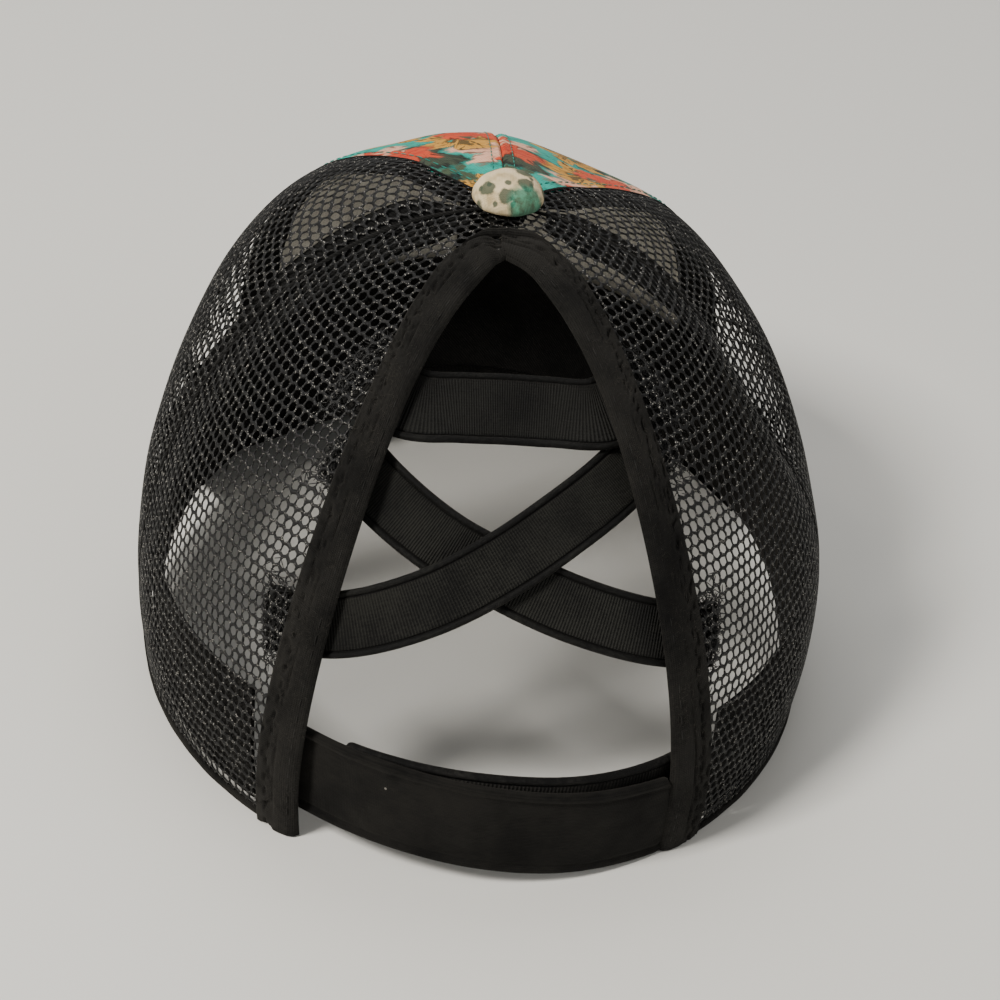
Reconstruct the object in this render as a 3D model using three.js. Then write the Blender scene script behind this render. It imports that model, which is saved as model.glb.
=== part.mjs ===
// Six-panel ponytail baseball cap: two printed front panels, four mesh panels, an inverted-V rear
// opening bound in black cotton, three elastics across it, a two-strap closure, sweatband and peak.
// Millimetres, +Z up. +Y is the rear (the opening), -Y the front (the peak), +X the wearer's right
// side reversed, that is the left of a picture taken from behind. The rim stands on z = 0.
import * as THREE from "three";

const RAD = Math.PI / 180;

// ---- named sizes, mm unless the name says otherwise ----
const crown = {
  halfWidth: 82,        // rim half-axis across the head
  rearDepth: 99,        // rim half-axis to the rear
  frontDepth: 96,       // rim half-axis to the front
  height: 120,          // rim to the crown's top
  bulge: 0.069,         // how far the walls swell outside the rim, as a share of its radius
  sideFullness: 2.32,   // profile exponents: 2 is an ellipse, more is squarer at the shoulder
  rearFullness: 2.13,
  frontFullness: 5.1,
  rearSeamDeg: 81,      // rear/side seam, degrees round from the rear
  frontSeamDeg: 135,    // side/front seam
  topClimb: 0.985,      // where the panels stop round the button's shank
};
const cloth = {
  wall: 1.1,            // panel thickness
  leaf: 1.0,            // one leaf of the folded binding, and the seam tape
  strap: 1.4,           // elastics
  tab: 1.8,             // closure tab
  closure: 1.5,         // inner closure strap
  band: 1.2,            // sweatband
  gap: 0.3,             // clearance between pieces
  seat: 0.38,           // clearance between layers
};
const widths = {
  binding: 10.5,        // about what the opening table gives; sizes the fold's section
  elastic: 17.2,
  stretched: 14.8,      // the crossing elastics, narrowed by their pull
  tab: 23.6,
  closure: 23,
  tape: 14,
  sweatband: 33,
  footGap: 0.6,         // sweatband above the rim
};
const peak = {
  halfWidth: 84,
  length: 77,           // half-axis of its outer edge, front to rear
  centreBack: 88,       // how far forward of the crown's middle that edge is centred
  wrapDeg: 104,         // how far the edge wraps back each way
  jointDeg: 60,         // the peak is sewn to the rim this far each way from the front
  thickness: 2.6,
  archRadius: 240,      // cross arch
  slope: 0.1,           // fall towards the front edge
};
const button = { radius: 8.4, rise: 8.2, shank: 1.5, flange: 4.4, flangeThick: 1.0 };

// ---- relief on the crown: a row per fold, fullness or ridge ----
// where: degrees round from the rear and share of the crown's height, each with its spread;
// depth: inwards, as a share of the crown's height
const relief = [
  { name: "left seam valley", deg: 80, spreadDeg: 9, share: 0.62, spreadShare: 0.4, depth: 0.016 },
  { name: "right seam valley", deg: -84, spreadDeg: 11, share: 0.66, spreadShare: 0.2, depth: 0.046 },
  { name: "left shoulder fullness", deg: 112, spreadDeg: 34, share: 0.84, spreadShare: 0.26, depth: -0.036 },
  { name: "right shoulder slack", deg: -116, spreadDeg: 34, share: 0.86, spreadShare: 0.26, depth: 0.004 },
  { name: "front ridge", deg: 180, spreadDeg: 16, share: 0.8, spreadShare: 0.4, depth: -0.008 },
  { name: "hollow beside the button", deg: -152, spreadDeg: 20, share: 0.93, spreadShare: 0.1, depth: 0.03 },
  { name: "left shoulder's top", deg: 112, spreadDeg: 26, share: 0.9, spreadShare: 0.12, depth: -0.016 },
];

// ---- the opening's binding: a row per station from the rim (0) to the apex (1) ----
// degrees round from the rear and share of the climb, for the binding's inner and outer edge
const opening = [
  { at: 0.0, innerDeg: 29.9, innerClimb: 0.004, outerDeg: 37.4, outerClimb: 0.004 },
  { at: 0.1, innerDeg: 29.6, innerClimb: 0.08, outerDeg: 36.7, outerClimb: 0.085 },
  { at: 0.2, innerDeg: 28.9, innerClimb: 0.16, outerDeg: 35.8, outerClimb: 0.168 },
  { at: 0.3, innerDeg: 28.2, innerClimb: 0.24, outerDeg: 35.1, outerClimb: 0.25 },
  { at: 0.4, innerDeg: 27.6, innerClimb: 0.32, outerDeg: 34.7, outerClimb: 0.335 },
  { at: 0.5, innerDeg: 27.1, innerClimb: 0.4, outerDeg: 34.6, outerClimb: 0.418 },
  { at: 0.6, innerDeg: 26.7, innerClimb: 0.48, outerDeg: 34.9, outerClimb: 0.5 },
  { at: 0.7, innerDeg: 26.3, innerClimb: 0.56, outerDeg: 35.5, outerClimb: 0.585 },
  { at: 0.79, innerDeg: 25.5, innerClimb: 0.635, outerDeg: 36.6, outerClimb: 0.668 },
  { at: 0.87, innerDeg: 23.5, innerClimb: 0.71, outerDeg: 38.0, outerClimb: 0.752 },
  { at: 0.94, innerDeg: 18.5, innerClimb: 0.785, outerDeg: 37.5, outerClimb: 0.84 },
  { at: 0.98, innerDeg: 9.5, innerClimb: 0.846, outerDeg: 26.0, outerClimb: 0.893 },
  { at: 1.0, innerDeg: 0.0, innerClimb: 0.871, outerDeg: 0.0, outerClimb: 0.906 },
];

// ---- bands across the opening: a row per bend, along each band's middle line ----
// deg round from the rear (+ is the picture's left), climb share, and how much deeper inside the
// crown it lies than a band seated under the binding, in layers of cloth
const bands = {
  elastic_top: {
    width: widths.elastic, thick: cloth.strap, steps: 18,
    path: [
      { deg: 46, climb: 0.605, deeper: 0 },
      { deg: 26, climb: 0.605, deeper: 0 },
      { deg: 13, climb: 0.628, deeper: 2.1 },
      { deg: 0, climb: 0.637, deeper: 2.8 },
      { deg: -13, climb: 0.628, deeper: 2.1 },
      { deg: -26, climb: 0.605, deeper: 0 },
      { deg: -46, climb: 0.605, deeper: 0 },
    ],
  },
  elastic_cross_front: {
    width: widths.stretched, thick: cloth.strap, steps: 22,
    path: [
      { deg: 40.5, climb: 0.262, deeper: 0 },
      { deg: 27.7, climb: 0.3, deeper: 0 },
      { deg: 14, climb: 0.358, deeper: 0.5 },
      { deg: 0, climb: 0.422, deeper: 0.8 },
      { deg: -12, climb: 0.47, deeper: 1.1 },
      { deg: -23.5, climb: 0.504, deeper: 1.4 },
      { deg: -39, climb: 0.542, deeper: 1.5 },
    ],
  },
  elastic_cross_back: {
    width: widths.stretched, thick: cloth.strap, steps: 22,
    path: [
      { deg: 39, climb: 0.51, deeper: 1.5 },
      { deg: 24.5, climb: 0.474, deeper: 1.7 },
      { deg: 12, climb: 0.441, deeper: 2.6 },
      { deg: 0, climb: 0.41, deeper: 2.8 },
      { deg: -14, climb: 0.361, deeper: 1.7 },
      { deg: -28.4, climb: 0.307, deeper: 0 },
      { deg: -40, climb: 0.267, deeper: 0 },
    ],
  },
  closure_tab: {
    width: widths.tab, thick: cloth.tab, steps: 24, roundedEnd: 2.4,
    path: [
      { deg: 37.5, climb: 0.086, deeper: 0 },
      { deg: 28, climb: 0.085, deeper: 0 },
      { deg: 14, climb: 0.085, deeper: -0.9 },
      { deg: 0, climb: 0.079, deeper: -1.9 },
      { deg: -14, climb: 0.065, deeper: -2.1 },
      { deg: -28.8, climb: 0.054, deeper: -2.1 },
    ],
  },
  closure_strap: {
    width: widths.closure, thick: cloth.closure, steps: 20, roundedEnd: 3,
    path: [
      { deg: -37.5, climb: 0.073, deeper: 0 },
      { deg: -28, climb: 0.071, deeper: 0 },
      { deg: -14, climb: 0.0795, deeper: -0.3 },
      { deg: 0, climb: 0.089, deeper: -0.15 },
      { deg: 14, climb: 0.0878, deeper: 0.85 },
      { deg: 24, climb: 0.0845, deeper: 1.5 },
    ],
  },
};

// ---- small maths ----
const lerp = (a, b, t) => a + (b - a) * t;
const smooth = (t) => { const c = Math.min(1, Math.max(0, t)); return c * c * (3 - 2 * c); };

/** Value of one column of a table at `at`, eased through the rows (Catmull-Rom). */
function column(rows, key, by, at) {
  const descending = rows[0][by] > rows[rows.length - 1][by];
  let i = 0;
  while (i < rows.length - 2 && (descending ? rows[i + 1][by] > at : rows[i + 1][by] < at)) i += 1;
  const row = (j) => rows[Math.min(rows.length - 1, Math.max(0, j))];
  const span = row(i + 1)[by] - row(i)[by];
  const t = Math.min(1, Math.max(0, (at - row(i)[by]) / span));
  const slope = (j) => {
    const before = row(j - 1), after = row(j + 1);
    return after[by] === before[by] ? 0 : (after[key] - before[key]) / (after[by] - before[by]);
  };
  const p = row(i)[key], q = row(i + 1)[key], m = slope(i) * span, n = slope(i + 1) * span;
  const tt = t * t, ttt = tt * t;
  return (2 * ttt - 3 * tt + 1) * p + (ttt - 2 * tt + t) * m + (-2 * ttt + 3 * tt) * q + (ttt - tt) * n;
}

// ---- the crown's surface ----
function fullness(az) {
  const c = Math.cos(az);
  const rear = Math.max(c, 0) ** 2, front = Math.max(-c, 0) ** 2;
  return crown.sideFullness * (1 - rear - front) + crown.rearFullness * rear + crown.frontFullness * front;
}

/** Climb share at which the crown's outer surface is `z` above the rim plane. */
function climbAt(az, z) {
  const share = Math.min(1, Math.max(0, z / crown.height));
  return Math.asin(share ** (fullness(az) / 2)) / (Math.PI / 2);
}

function bare(az, climb) {
  const angle = climb * Math.PI / 2;
  const h = Math.sin(angle) ** (2 / fullness(az));
  const rho = Math.cos(angle) * (1 + crown.bulge * 4 * h * (1 - h));
  const depth = Math.cos(az) > 0 ? crown.rearDepth : crown.frontDepth;
  return new THREE.Vector3(crown.halfWidth * Math.sin(az) * rho, depth * Math.cos(az) * rho, crown.height * h);
}

function normalAt(az, climb) {
  const c = Math.min(0.99, Math.max(0.01, climb));
  const around = bare(az + 0.004, c).sub(bare(az - 0.004, c));
  const up = bare(az, c + 0.003).sub(bare(az, c - 0.003));
  return up.cross(around).normalize();
}

/** A point `inset` mm inside the crown's outer surface. */
function crownPoint(az, climb, inset) {
  const point = bare(az, climb), normal = normalAt(az, climb);
  const share = point.z / crown.height, fade = smooth((1 - share) / 0.04);
  let dip = 0;
  for (const row of relief) {
    let away = Math.abs(az / RAD - row.deg) % 360;
    if (away > 180) away = 360 - away;
    const near = (away / row.spreadDeg) ** 2 + ((share - row.share) / row.spreadShare) ** 2;
    dip += row.depth * crown.height * Math.exp(-near) * fade;
  }
  return point.addScaledVector(normal, -(inset + dip));
}

/** Climb at an even share of the way from `start` up to the panels' top, measured along the cloth. */
function stepUp(az, start, share) {
  const samples = 40, lengths = [0];
  const at = (i) => lerp(start, crown.topClimb, (i / samples) ** 1.6);
  for (let i = 1; i <= samples; i += 1) lengths.push(lengths[i - 1] + bare(az, at(i)).distanceTo(bare(az, at(i - 1))));
  const wanted = share * lengths[samples];
  let i = 1;
  while (i < samples && lengths[i] < wanted) i += 1;
  return lerp(at(i - 1), at(i), (wanted - lengths[i - 1]) / (lengths[i] - lengths[i - 1]));
}

// ---- the peak's top surface and the rim's front arch that sits on it ----
const peakShape = (x, forward) => -(x * x) / (2 * peak.archRadius) - peak.slope * forward;

function peakPlan(across, out) {
  const az = (180 - peak.jointDeg * across) * RAD;
  const sewn = crownPoint(az, climbAt(az, crown.height * 0.15), cloth.wall + cloth.leaf + 2 * cloth.seat - cloth.gap);
  const edgeAngle = across * peak.wrapDeg * RAD;
  const edge = new THREE.Vector3(peak.halfWidth * Math.sin(edgeAngle), -peak.centreBack - peak.length * Math.cos(edgeAngle), 0);
  const x = lerp(sewn.x, edge.x, out), y = lerp(sewn.y, edge.y, out);
  return { x, y, forward: Math.hypot(x - sewn.x, y - sewn.y) };
}

/** Height of the arch's middle, so that the lowest point of the peak just stands on the table. */
const peakCentre = (() => {
  let lowest = 0;
  for (let i = -40; i <= 40; i += 1) {
    const p = peakPlan(i / 40, 1);
    lowest = Math.min(lowest, peakShape(p.x, p.forward));
  }
  return peak.thickness - lowest;
})();

/** Height of the rim above the table: flat at the rear and sides, arched over the peak in front. */
function rimHeight(az) {
  const away = Math.abs(Math.atan2(Math.sin(az), Math.cos(az))) / RAD;
  const joint = 180 - peak.jointDeg;
  const x = crown.halfWidth * Math.sin(Math.max(away, joint) * RAD);
  const over = peakCentre + peakShape(x, 0) + cloth.gap;
  return away >= joint ? over : over * smooth((away - 72) / (joint - 72));
}

// ---- solids ----
function solid(points, faces) {
  let volume = 0;
  for (const [a, b, c] of faces) volume += points[a].dot(new THREE.Vector3().crossVectors(points[b], points[c]));
  const flat = new Float32Array(points.length * 3);
  points.forEach((p, i) => p.toArray(flat, i * 3));
  const geometry = new THREE.BufferGeometry();
  geometry.setAttribute("position", new THREE.BufferAttribute(flat, 3));
  geometry.setIndex(faces.flatMap(([a, b, c]) => (volume > 0 ? [a, b, c] : [a, c, b])));
  geometry.computeVertexNormals();
  return geometry;
}

/** Closed shell between an outer and an inner sheet of cols x rows cells. */
function shell(cols, rows, pointAt) {
  const points = [], faces = [], size = (cols + 1) * (rows + 1);
  for (const side of [0, 1])
    for (let j = 0; j <= rows; j += 1)
      for (let i = 0; i <= cols; i += 1) points.push(pointAt(i / cols, j / rows, side));
  const id = (side, i, j) => side * size + j * (cols + 1) + i;
  for (let j = 0; j < rows; j += 1)
    for (let i = 0; i < cols; i += 1) {
      faces.push([id(0, i, j), id(0, i + 1, j), id(0, i + 1, j + 1)], [id(0, i, j), id(0, i + 1, j + 1), id(0, i, j + 1)]);
      faces.push([id(1, i, j), id(1, i + 1, j + 1), id(1, i + 1, j)], [id(1, i, j), id(1, i, j + 1), id(1, i + 1, j + 1)]);
    }
  const wall = (a, b, c, d) => faces.push([a, c, b], [b, c, d]);
  for (let i = 0; i < cols; i += 1) {
    wall(id(0, i, 0), id(0, i + 1, 0), id(1, i, 0), id(1, i + 1, 0));
    wall(id(0, i + 1, rows), id(0, i, rows), id(1, i + 1, rows), id(1, i, rows));
  }
  for (let j = 0; j < rows; j += 1) {
    wall(id(0, 0, j + 1), id(0, 0, j), id(1, 0, j + 1), id(1, 0, j));
    wall(id(0, cols, j), id(0, cols, j + 1), id(1, cols, j), id(1, cols, j + 1));
  }
  return solid(points, faces);
}

/** Sweep of one closed section; `section` gives [x, y] pairs, `place` puts one of them at a station. */
function sweep(section, stations, place) {
  const points = [], faces = [], m = section.length;
  for (let s = 0; s <= stations; s += 1) section.forEach((pair) => points.push(place(s / stations, pair)));
  for (let s = 0; s < stations; s += 1)
    for (let k = 0; k < m; k += 1) {
      const a = s * m + k, b = s * m + ((k + 1) % m);
      faces.push([a, b, b + m], [a, b + m, a + m]);
    }
  const caps = THREE.ShapeUtils.triangulateShape(section.map(([x, y]) => new THREE.Vector2(x, y)), []);
  for (const [a, b, c] of caps) {
    faces.push([a, c, b]);
    faces.push([a + stations * m, b + stations * m, c + stations * m]);
  }
  return solid(points, faces);
}

// ---- crown panels ----
/** Azimuth `distance` mm round the crown from `az` at that climb. */
function besides(az, climb, distance) {
  const p = bare(az, climb);
  return az + distance / Math.max(0.8, Math.hypot(p.x, p.y));
}

function panelBetween(lowDeg, highDeg, cols, rows) {
  return shell(cols, rows, (u, v, side) => {
    const edgeClimb = (az) => stepUp(az, climbAt(az, rimHeight(az)), v);
    const low = lowDeg * RAD, high = highDeg * RAD;
    const a = besides(low, edgeClimb(low), cloth.gap / 2), b = besides(high, edgeClimb(high), -cloth.gap / 2);
    const az = lerp(a, b, u);
    return crownPoint(az, edgeClimb(az), side * cloth.wall);
  });
}

/** The panel's edge inside the folded binding, then the short centre seam above the apex. */
function openingSide(v) {
  const tuck = 0.42, join = 0.86;
  if (v <= join) {
    const at = v / join;
    return {
      deg: lerp(column(opening, "innerDeg", "at", at), column(opening, "outerDeg", "at", at), tuck),
      climb: lerp(column(opening, "innerClimb", "at", at), column(opening, "outerClimb", "at", at), tuck),
    };
  }
  const apex = openingSide(join);
  return { deg: 0, climb: lerp(apex.climb, crown.topClimb, (v - join) / (1 - join)) };
}

function rearPanel(sign, cols, rows) {
  return shell(cols, rows, (u, v, side) => {
    const seam = crown.rearSeamDeg * RAD, inner = openingSide(v);
    const seamClimb = stepUp(seam, climbAt(seam, rimHeight(seam)), v);
    const a = besides(inner.deg * RAD, inner.climb, cloth.gap / 2), b = besides(seam, seamClimb, -cloth.gap / 2);
    return crownPoint(sign * lerp(a, b, u), lerp(inner.climb, seamClimb, u), side * cloth.wall);
  });
}

// ---- binding round the opening: a folded strip that takes the panel's edge ----
function bindingLeg(sign) {
  const { leaf, wall, gap, seat } = cloth;
  const outside = -gap - leaf, under = wall + seat, inside = under + leaf, fold = leaf / widths.binding;
  // the fold is pressed thin at its edge and opens to take the panel
  const pressed = 0.38, thin = (share) => lerp(outside, inside, share);
  const section = [
    [0, thin(0.4)], [fold * 0.6, thin(0.22)], [pressed, outside], [1, outside], [1, -gap], [pressed - 0.02, -gap],
    [pressed - 0.02, under], [0.93, under], [0.93, inside], [pressed + 0.04, inside], [fold * 0.6, thin(0.74)],
    [0, thin(0.58)],
  ];
  return sweep(section, 34, (t, [across, inset]) => {
    const at = t < 0.6 ? t / 0.6 * 0.7 : lerp(0.7, 1, (t - 0.6) / 0.4);
    const climb = lerp(column(opening, "innerClimb", "at", at), column(opening, "outerClimb", "at", at), across);
    const deg = lerp(column(opening, "innerDeg", "at", at), column(opening, "outerDeg", "at", at), across);
    return crownPoint(sign * besides(deg * RAD, climb, cloth.gap / 2), climb, inset);
  });
}

// ---- bands: elastics and closure ----
function band({ width, thick, steps, path, roundedEnd = 0 }) {
  const layer = (cloth.wall + cloth.leaf) / 2 + cloth.seat;
  const flatness = width ** 2 / (8 * crown.halfWidth);
  const seated = cloth.wall + cloth.leaf + cloth.seat + cloth.gap + flatness + thick / 2;
  const first = path[0].deg, last = path[path.length - 1].deg;
  const middle = (t) => {
    const deg = lerp(first, last, t);
    const inset = seated + column(path, "deeper", "deg", deg) * layer;
    return crownPoint(deg * RAD, column(path, "climb", "deg", deg), inset);
  };
  const length = middle(0).distanceTo(middle(1));
  const corner = [[-1, -1], [1, -1], [1, 1], [-1, 1]];
  return sweep(corner, steps, (t, [across, through]) => {
    const deg = lerp(first, last, t);
    const along = middle(Math.min(1, t + 0.01)).sub(middle(Math.max(0, t - 0.01))).normalize();
    const out = normalAt(deg * RAD, column(path, "climb", "deg", deg));
    const side = new THREE.Vector3().crossVectors(out, along).normalize();
    const normal = new THREE.Vector3().crossVectors(along, side).normalize();
    const left = (1 - t) * length;
    const round = left < roundedEnd ? roundedEnd - Math.sqrt(roundedEnd ** 2 - (roundedEnd - left) ** 2) : 0;
    return middle(t).addScaledVector(side, across * (width / 2 - round * 0.8)).addScaledVector(normal, through * thick / 2);
  });
}

// ---- seam tapes and sweatband inside the crown ----
function seamTape(deg) {
  const outer = cloth.wall + cloth.seat, rows = 17;
  return shell(2, rows, (u, v, side) => {
    const az = deg * RAD;
    const climb = stepUp(az, climbAt(az, rimHeight(az) + 4 * cloth.gap), v * rows / (rows + 1));
    const p = bare(az, climb), radius = Math.hypot(p.x, p.y);
    const half = Math.min(widths.tape / 2, 0.36 * radius);
    return crownPoint(az + (u * 2 - 1) * half / radius, climb, outer + side * cloth.leaf);
  });
}

function sweatband() {
  const outer = cloth.wall + cloth.leaf + 2 * cloth.seat, start = 41;
  return shell(54, 3, (u, v, side) => {
    const az = lerp(start, 360 - start, u) * RAD;
    return crownPoint(az, climbAt(az, rimHeight(az) + widths.footGap + v * widths.sweatband), outer + side * cloth.band);
  });
}

// ---- peak ----
function peakPlate() {
  return shell(34, 5, (u, v, side) => {
    const across = u * 2 - 1, p = peakPlan(across, v);
    const z = peakCentre + peakShape(p.x, p.forward) - side * peak.thickness;
    const edge = v > 0.99 ? (side ? 1 : -1) * peak.thickness * 0.22 : 0;
    return new THREE.Vector3(p.x, p.y, z + edge);
  });
}

// ---- covered button with its shank and inner washer ----
function coveredButton() {
  const top = crown.height, under = cloth.wall + cloth.leaf + 2 * cloth.seat;
  const profile = [
    [0, -under - button.flangeThick], [button.flange, -under - button.flangeThick], [button.flange, -under],
    [button.shank, -under], [button.shank, cloth.seat], [button.radius * 0.8, cloth.seat * 1.4],
    [button.radius * 0.95, button.rise * 0.18], [button.radius, button.rise * 0.36], [button.radius * 0.95, button.rise * 0.56],
    [button.radius * 0.8, button.rise * 0.76], [button.radius * 0.5, button.rise * 0.93], [0, button.rise],
  ];
  const around = 22, points = [], faces = [];
  profile.forEach(([radius, z]) => {
    const ring = [];
    for (let k = 0; k < (radius === 0 ? 1 : around); k += 1) {
      const angle = k / around * 2 * Math.PI;
      ring.push(points.push(new THREE.Vector3(radius * Math.cos(angle), radius * Math.sin(angle), top + z)) - 1);
    }
    profile.rings = [...(profile.rings ?? []), ring];
  });
  profile.rings.slice(1).forEach((ring, r) => {
    const below = profile.rings[r];
    for (let k = 0; k < around; k += 1) {
      const n = (k + 1) % around;
      if (below.length === 1) faces.push([below[0], ring[n], ring[k]]);
      else if (ring.length === 1) faces.push([below[k], below[n], ring[0]]);
      else faces.push([below[k], below[n], ring[n]], [below[k], ring[n], ring[k]]);
    }
  });
  return solid(points, faces);
}

// ---- the assembly ----
const MESH = { color: 0x15151a, roughness: 0.85 };
const COTTON = { color: 0x1a1a1c, roughness: 0.95 };
const ELASTIC = { color: 0x232327, roughness: 0.8 };
const PRINT = { color: 0x2f9e90, roughness: 0.9 };

const pieces = [
  ["front_panel_left", panelBetween(crown.frontSeamDeg, 180, 8, 18), PRINT],
  ["front_panel_right", panelBetween(-180, -crown.frontSeamDeg, 8, 18), PRINT],
  ["side_mesh_left", panelBetween(crown.rearSeamDeg, crown.frontSeamDeg, 8, 18), MESH],
  ["side_mesh_right", panelBetween(-crown.frontSeamDeg, -crown.rearSeamDeg, 8, 18), MESH],
  ["rear_mesh_left", rearPanel(1, 10, 24), MESH],
  ["rear_mesh_right", rearPanel(-1, 10, 24), MESH],
  ["opening_binding_left", bindingLeg(1), COTTON],
  ["opening_binding_right", bindingLeg(-1), COTTON],
  ["seam_tape_rear_left", seamTape(crown.rearSeamDeg), COTTON],
  ["seam_tape_rear_right", seamTape(-crown.rearSeamDeg), COTTON],
  ["seam_tape_front_left", seamTape(crown.frontSeamDeg), COTTON],
  ["seam_tape_front_right", seamTape(-crown.frontSeamDeg), COTTON],
  ["seam_tape_front_centre", seamTape(180), COTTON],
  ...Object.entries(bands).map(([name, spec]) => [name, band(spec), name.startsWith("elastic") ? ELASTIC : COTTON]),
  ["sweatband", sweatband(), COTTON],
  ["peak", peakPlate(), COTTON],
  ["button", coveredButton(), { color: 0xd9cdb2, roughness: 0.85 }],
];

const cap = new THREE.Group();
cap.name = "ponytail_baseball_cap";
for (const [name, geometry, look] of pieces) {
  const mesh = new THREE.Mesh(geometry, new THREE.MeshStandardMaterial(look));
  mesh.name = name;
  mesh.material.name = name;
  cap.add(mesh);
}
// The frame's origin is the middle of the whole part's footprint.
const bounds = new THREE.Box3().setFromObject(cap);
const middle = bounds.getCenter(new THREE.Vector3());
for (const mesh of cap.children) mesh.geometry.translate(-middle.x, -middle.y, -bounds.min.z);

export default cap;
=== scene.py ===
"""Dressed model of a six-panel ponytail baseball cap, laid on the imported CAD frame.

Lengths in this file are millimetres and angles are degrees unless a name says otherwise. A place on
the crown is given as degrees round from the rear (+ is the left of a picture taken from behind), a
share of the climb from the rim to the button, and a depth inside the crown's outer surface.
"""
import logging
import math
from dataclasses import dataclass, field
from enum import Enum
from typing import Callable, Sequence

import bmesh
import bpy
import numpy as np
from mathutils import Matrix, Vector


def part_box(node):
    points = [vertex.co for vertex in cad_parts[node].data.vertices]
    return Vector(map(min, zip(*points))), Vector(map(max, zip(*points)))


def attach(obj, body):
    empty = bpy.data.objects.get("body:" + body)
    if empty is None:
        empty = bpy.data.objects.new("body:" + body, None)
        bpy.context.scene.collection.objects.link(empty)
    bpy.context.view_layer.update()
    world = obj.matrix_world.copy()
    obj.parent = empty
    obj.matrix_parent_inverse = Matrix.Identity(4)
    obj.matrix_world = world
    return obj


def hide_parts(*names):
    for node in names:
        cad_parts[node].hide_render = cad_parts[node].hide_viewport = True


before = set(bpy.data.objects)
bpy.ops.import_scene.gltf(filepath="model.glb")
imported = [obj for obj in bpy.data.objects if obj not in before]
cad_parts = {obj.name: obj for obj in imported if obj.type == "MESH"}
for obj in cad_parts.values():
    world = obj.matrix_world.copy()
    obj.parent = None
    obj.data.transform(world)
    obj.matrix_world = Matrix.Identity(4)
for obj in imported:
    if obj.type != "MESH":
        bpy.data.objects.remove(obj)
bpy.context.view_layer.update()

LOG = logging.getLogger("cap")
MM = 0.001
# Thicknesses and clearances of the CAD part: a panel, a leaf of the binding, between layers and pieces.
WALL, LEAF, SEAT, GAP = 1.1, 1.0, 0.38, 0.3
# How far the button's washer lies below the crown's top.
WASHER = 3.86
Array, Piece = np.ndarray, bpy.types.Object
Tree, Socket = bpy.types.NodeTree, bpy.types.NodeSocket
Place = Callable[[Array, Array], Array]


# The crown's form, with the same named sizes as the CAD part.
def smooth(t: Array) -> Array:
    """Eased step from 0 to 1."""
    c = np.clip(t, 0.0, 1.0)
    return c * c * (3.0 - 2.0 * c)


@dataclass(frozen=True)
class Peak:
    """Sizes of the peak's plan and arch."""

    half_width: float = 84.0
    length: float = 77.0
    centre_back: float = 88.0
    wrap: float = 104.0
    joint: float = 60.0
    thickness: float = 2.6
    arch_radius: float = 240.0
    slope: float = 0.1
    sewn_height: float = 0.15
    sewn_inset: float = 2.56


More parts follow.
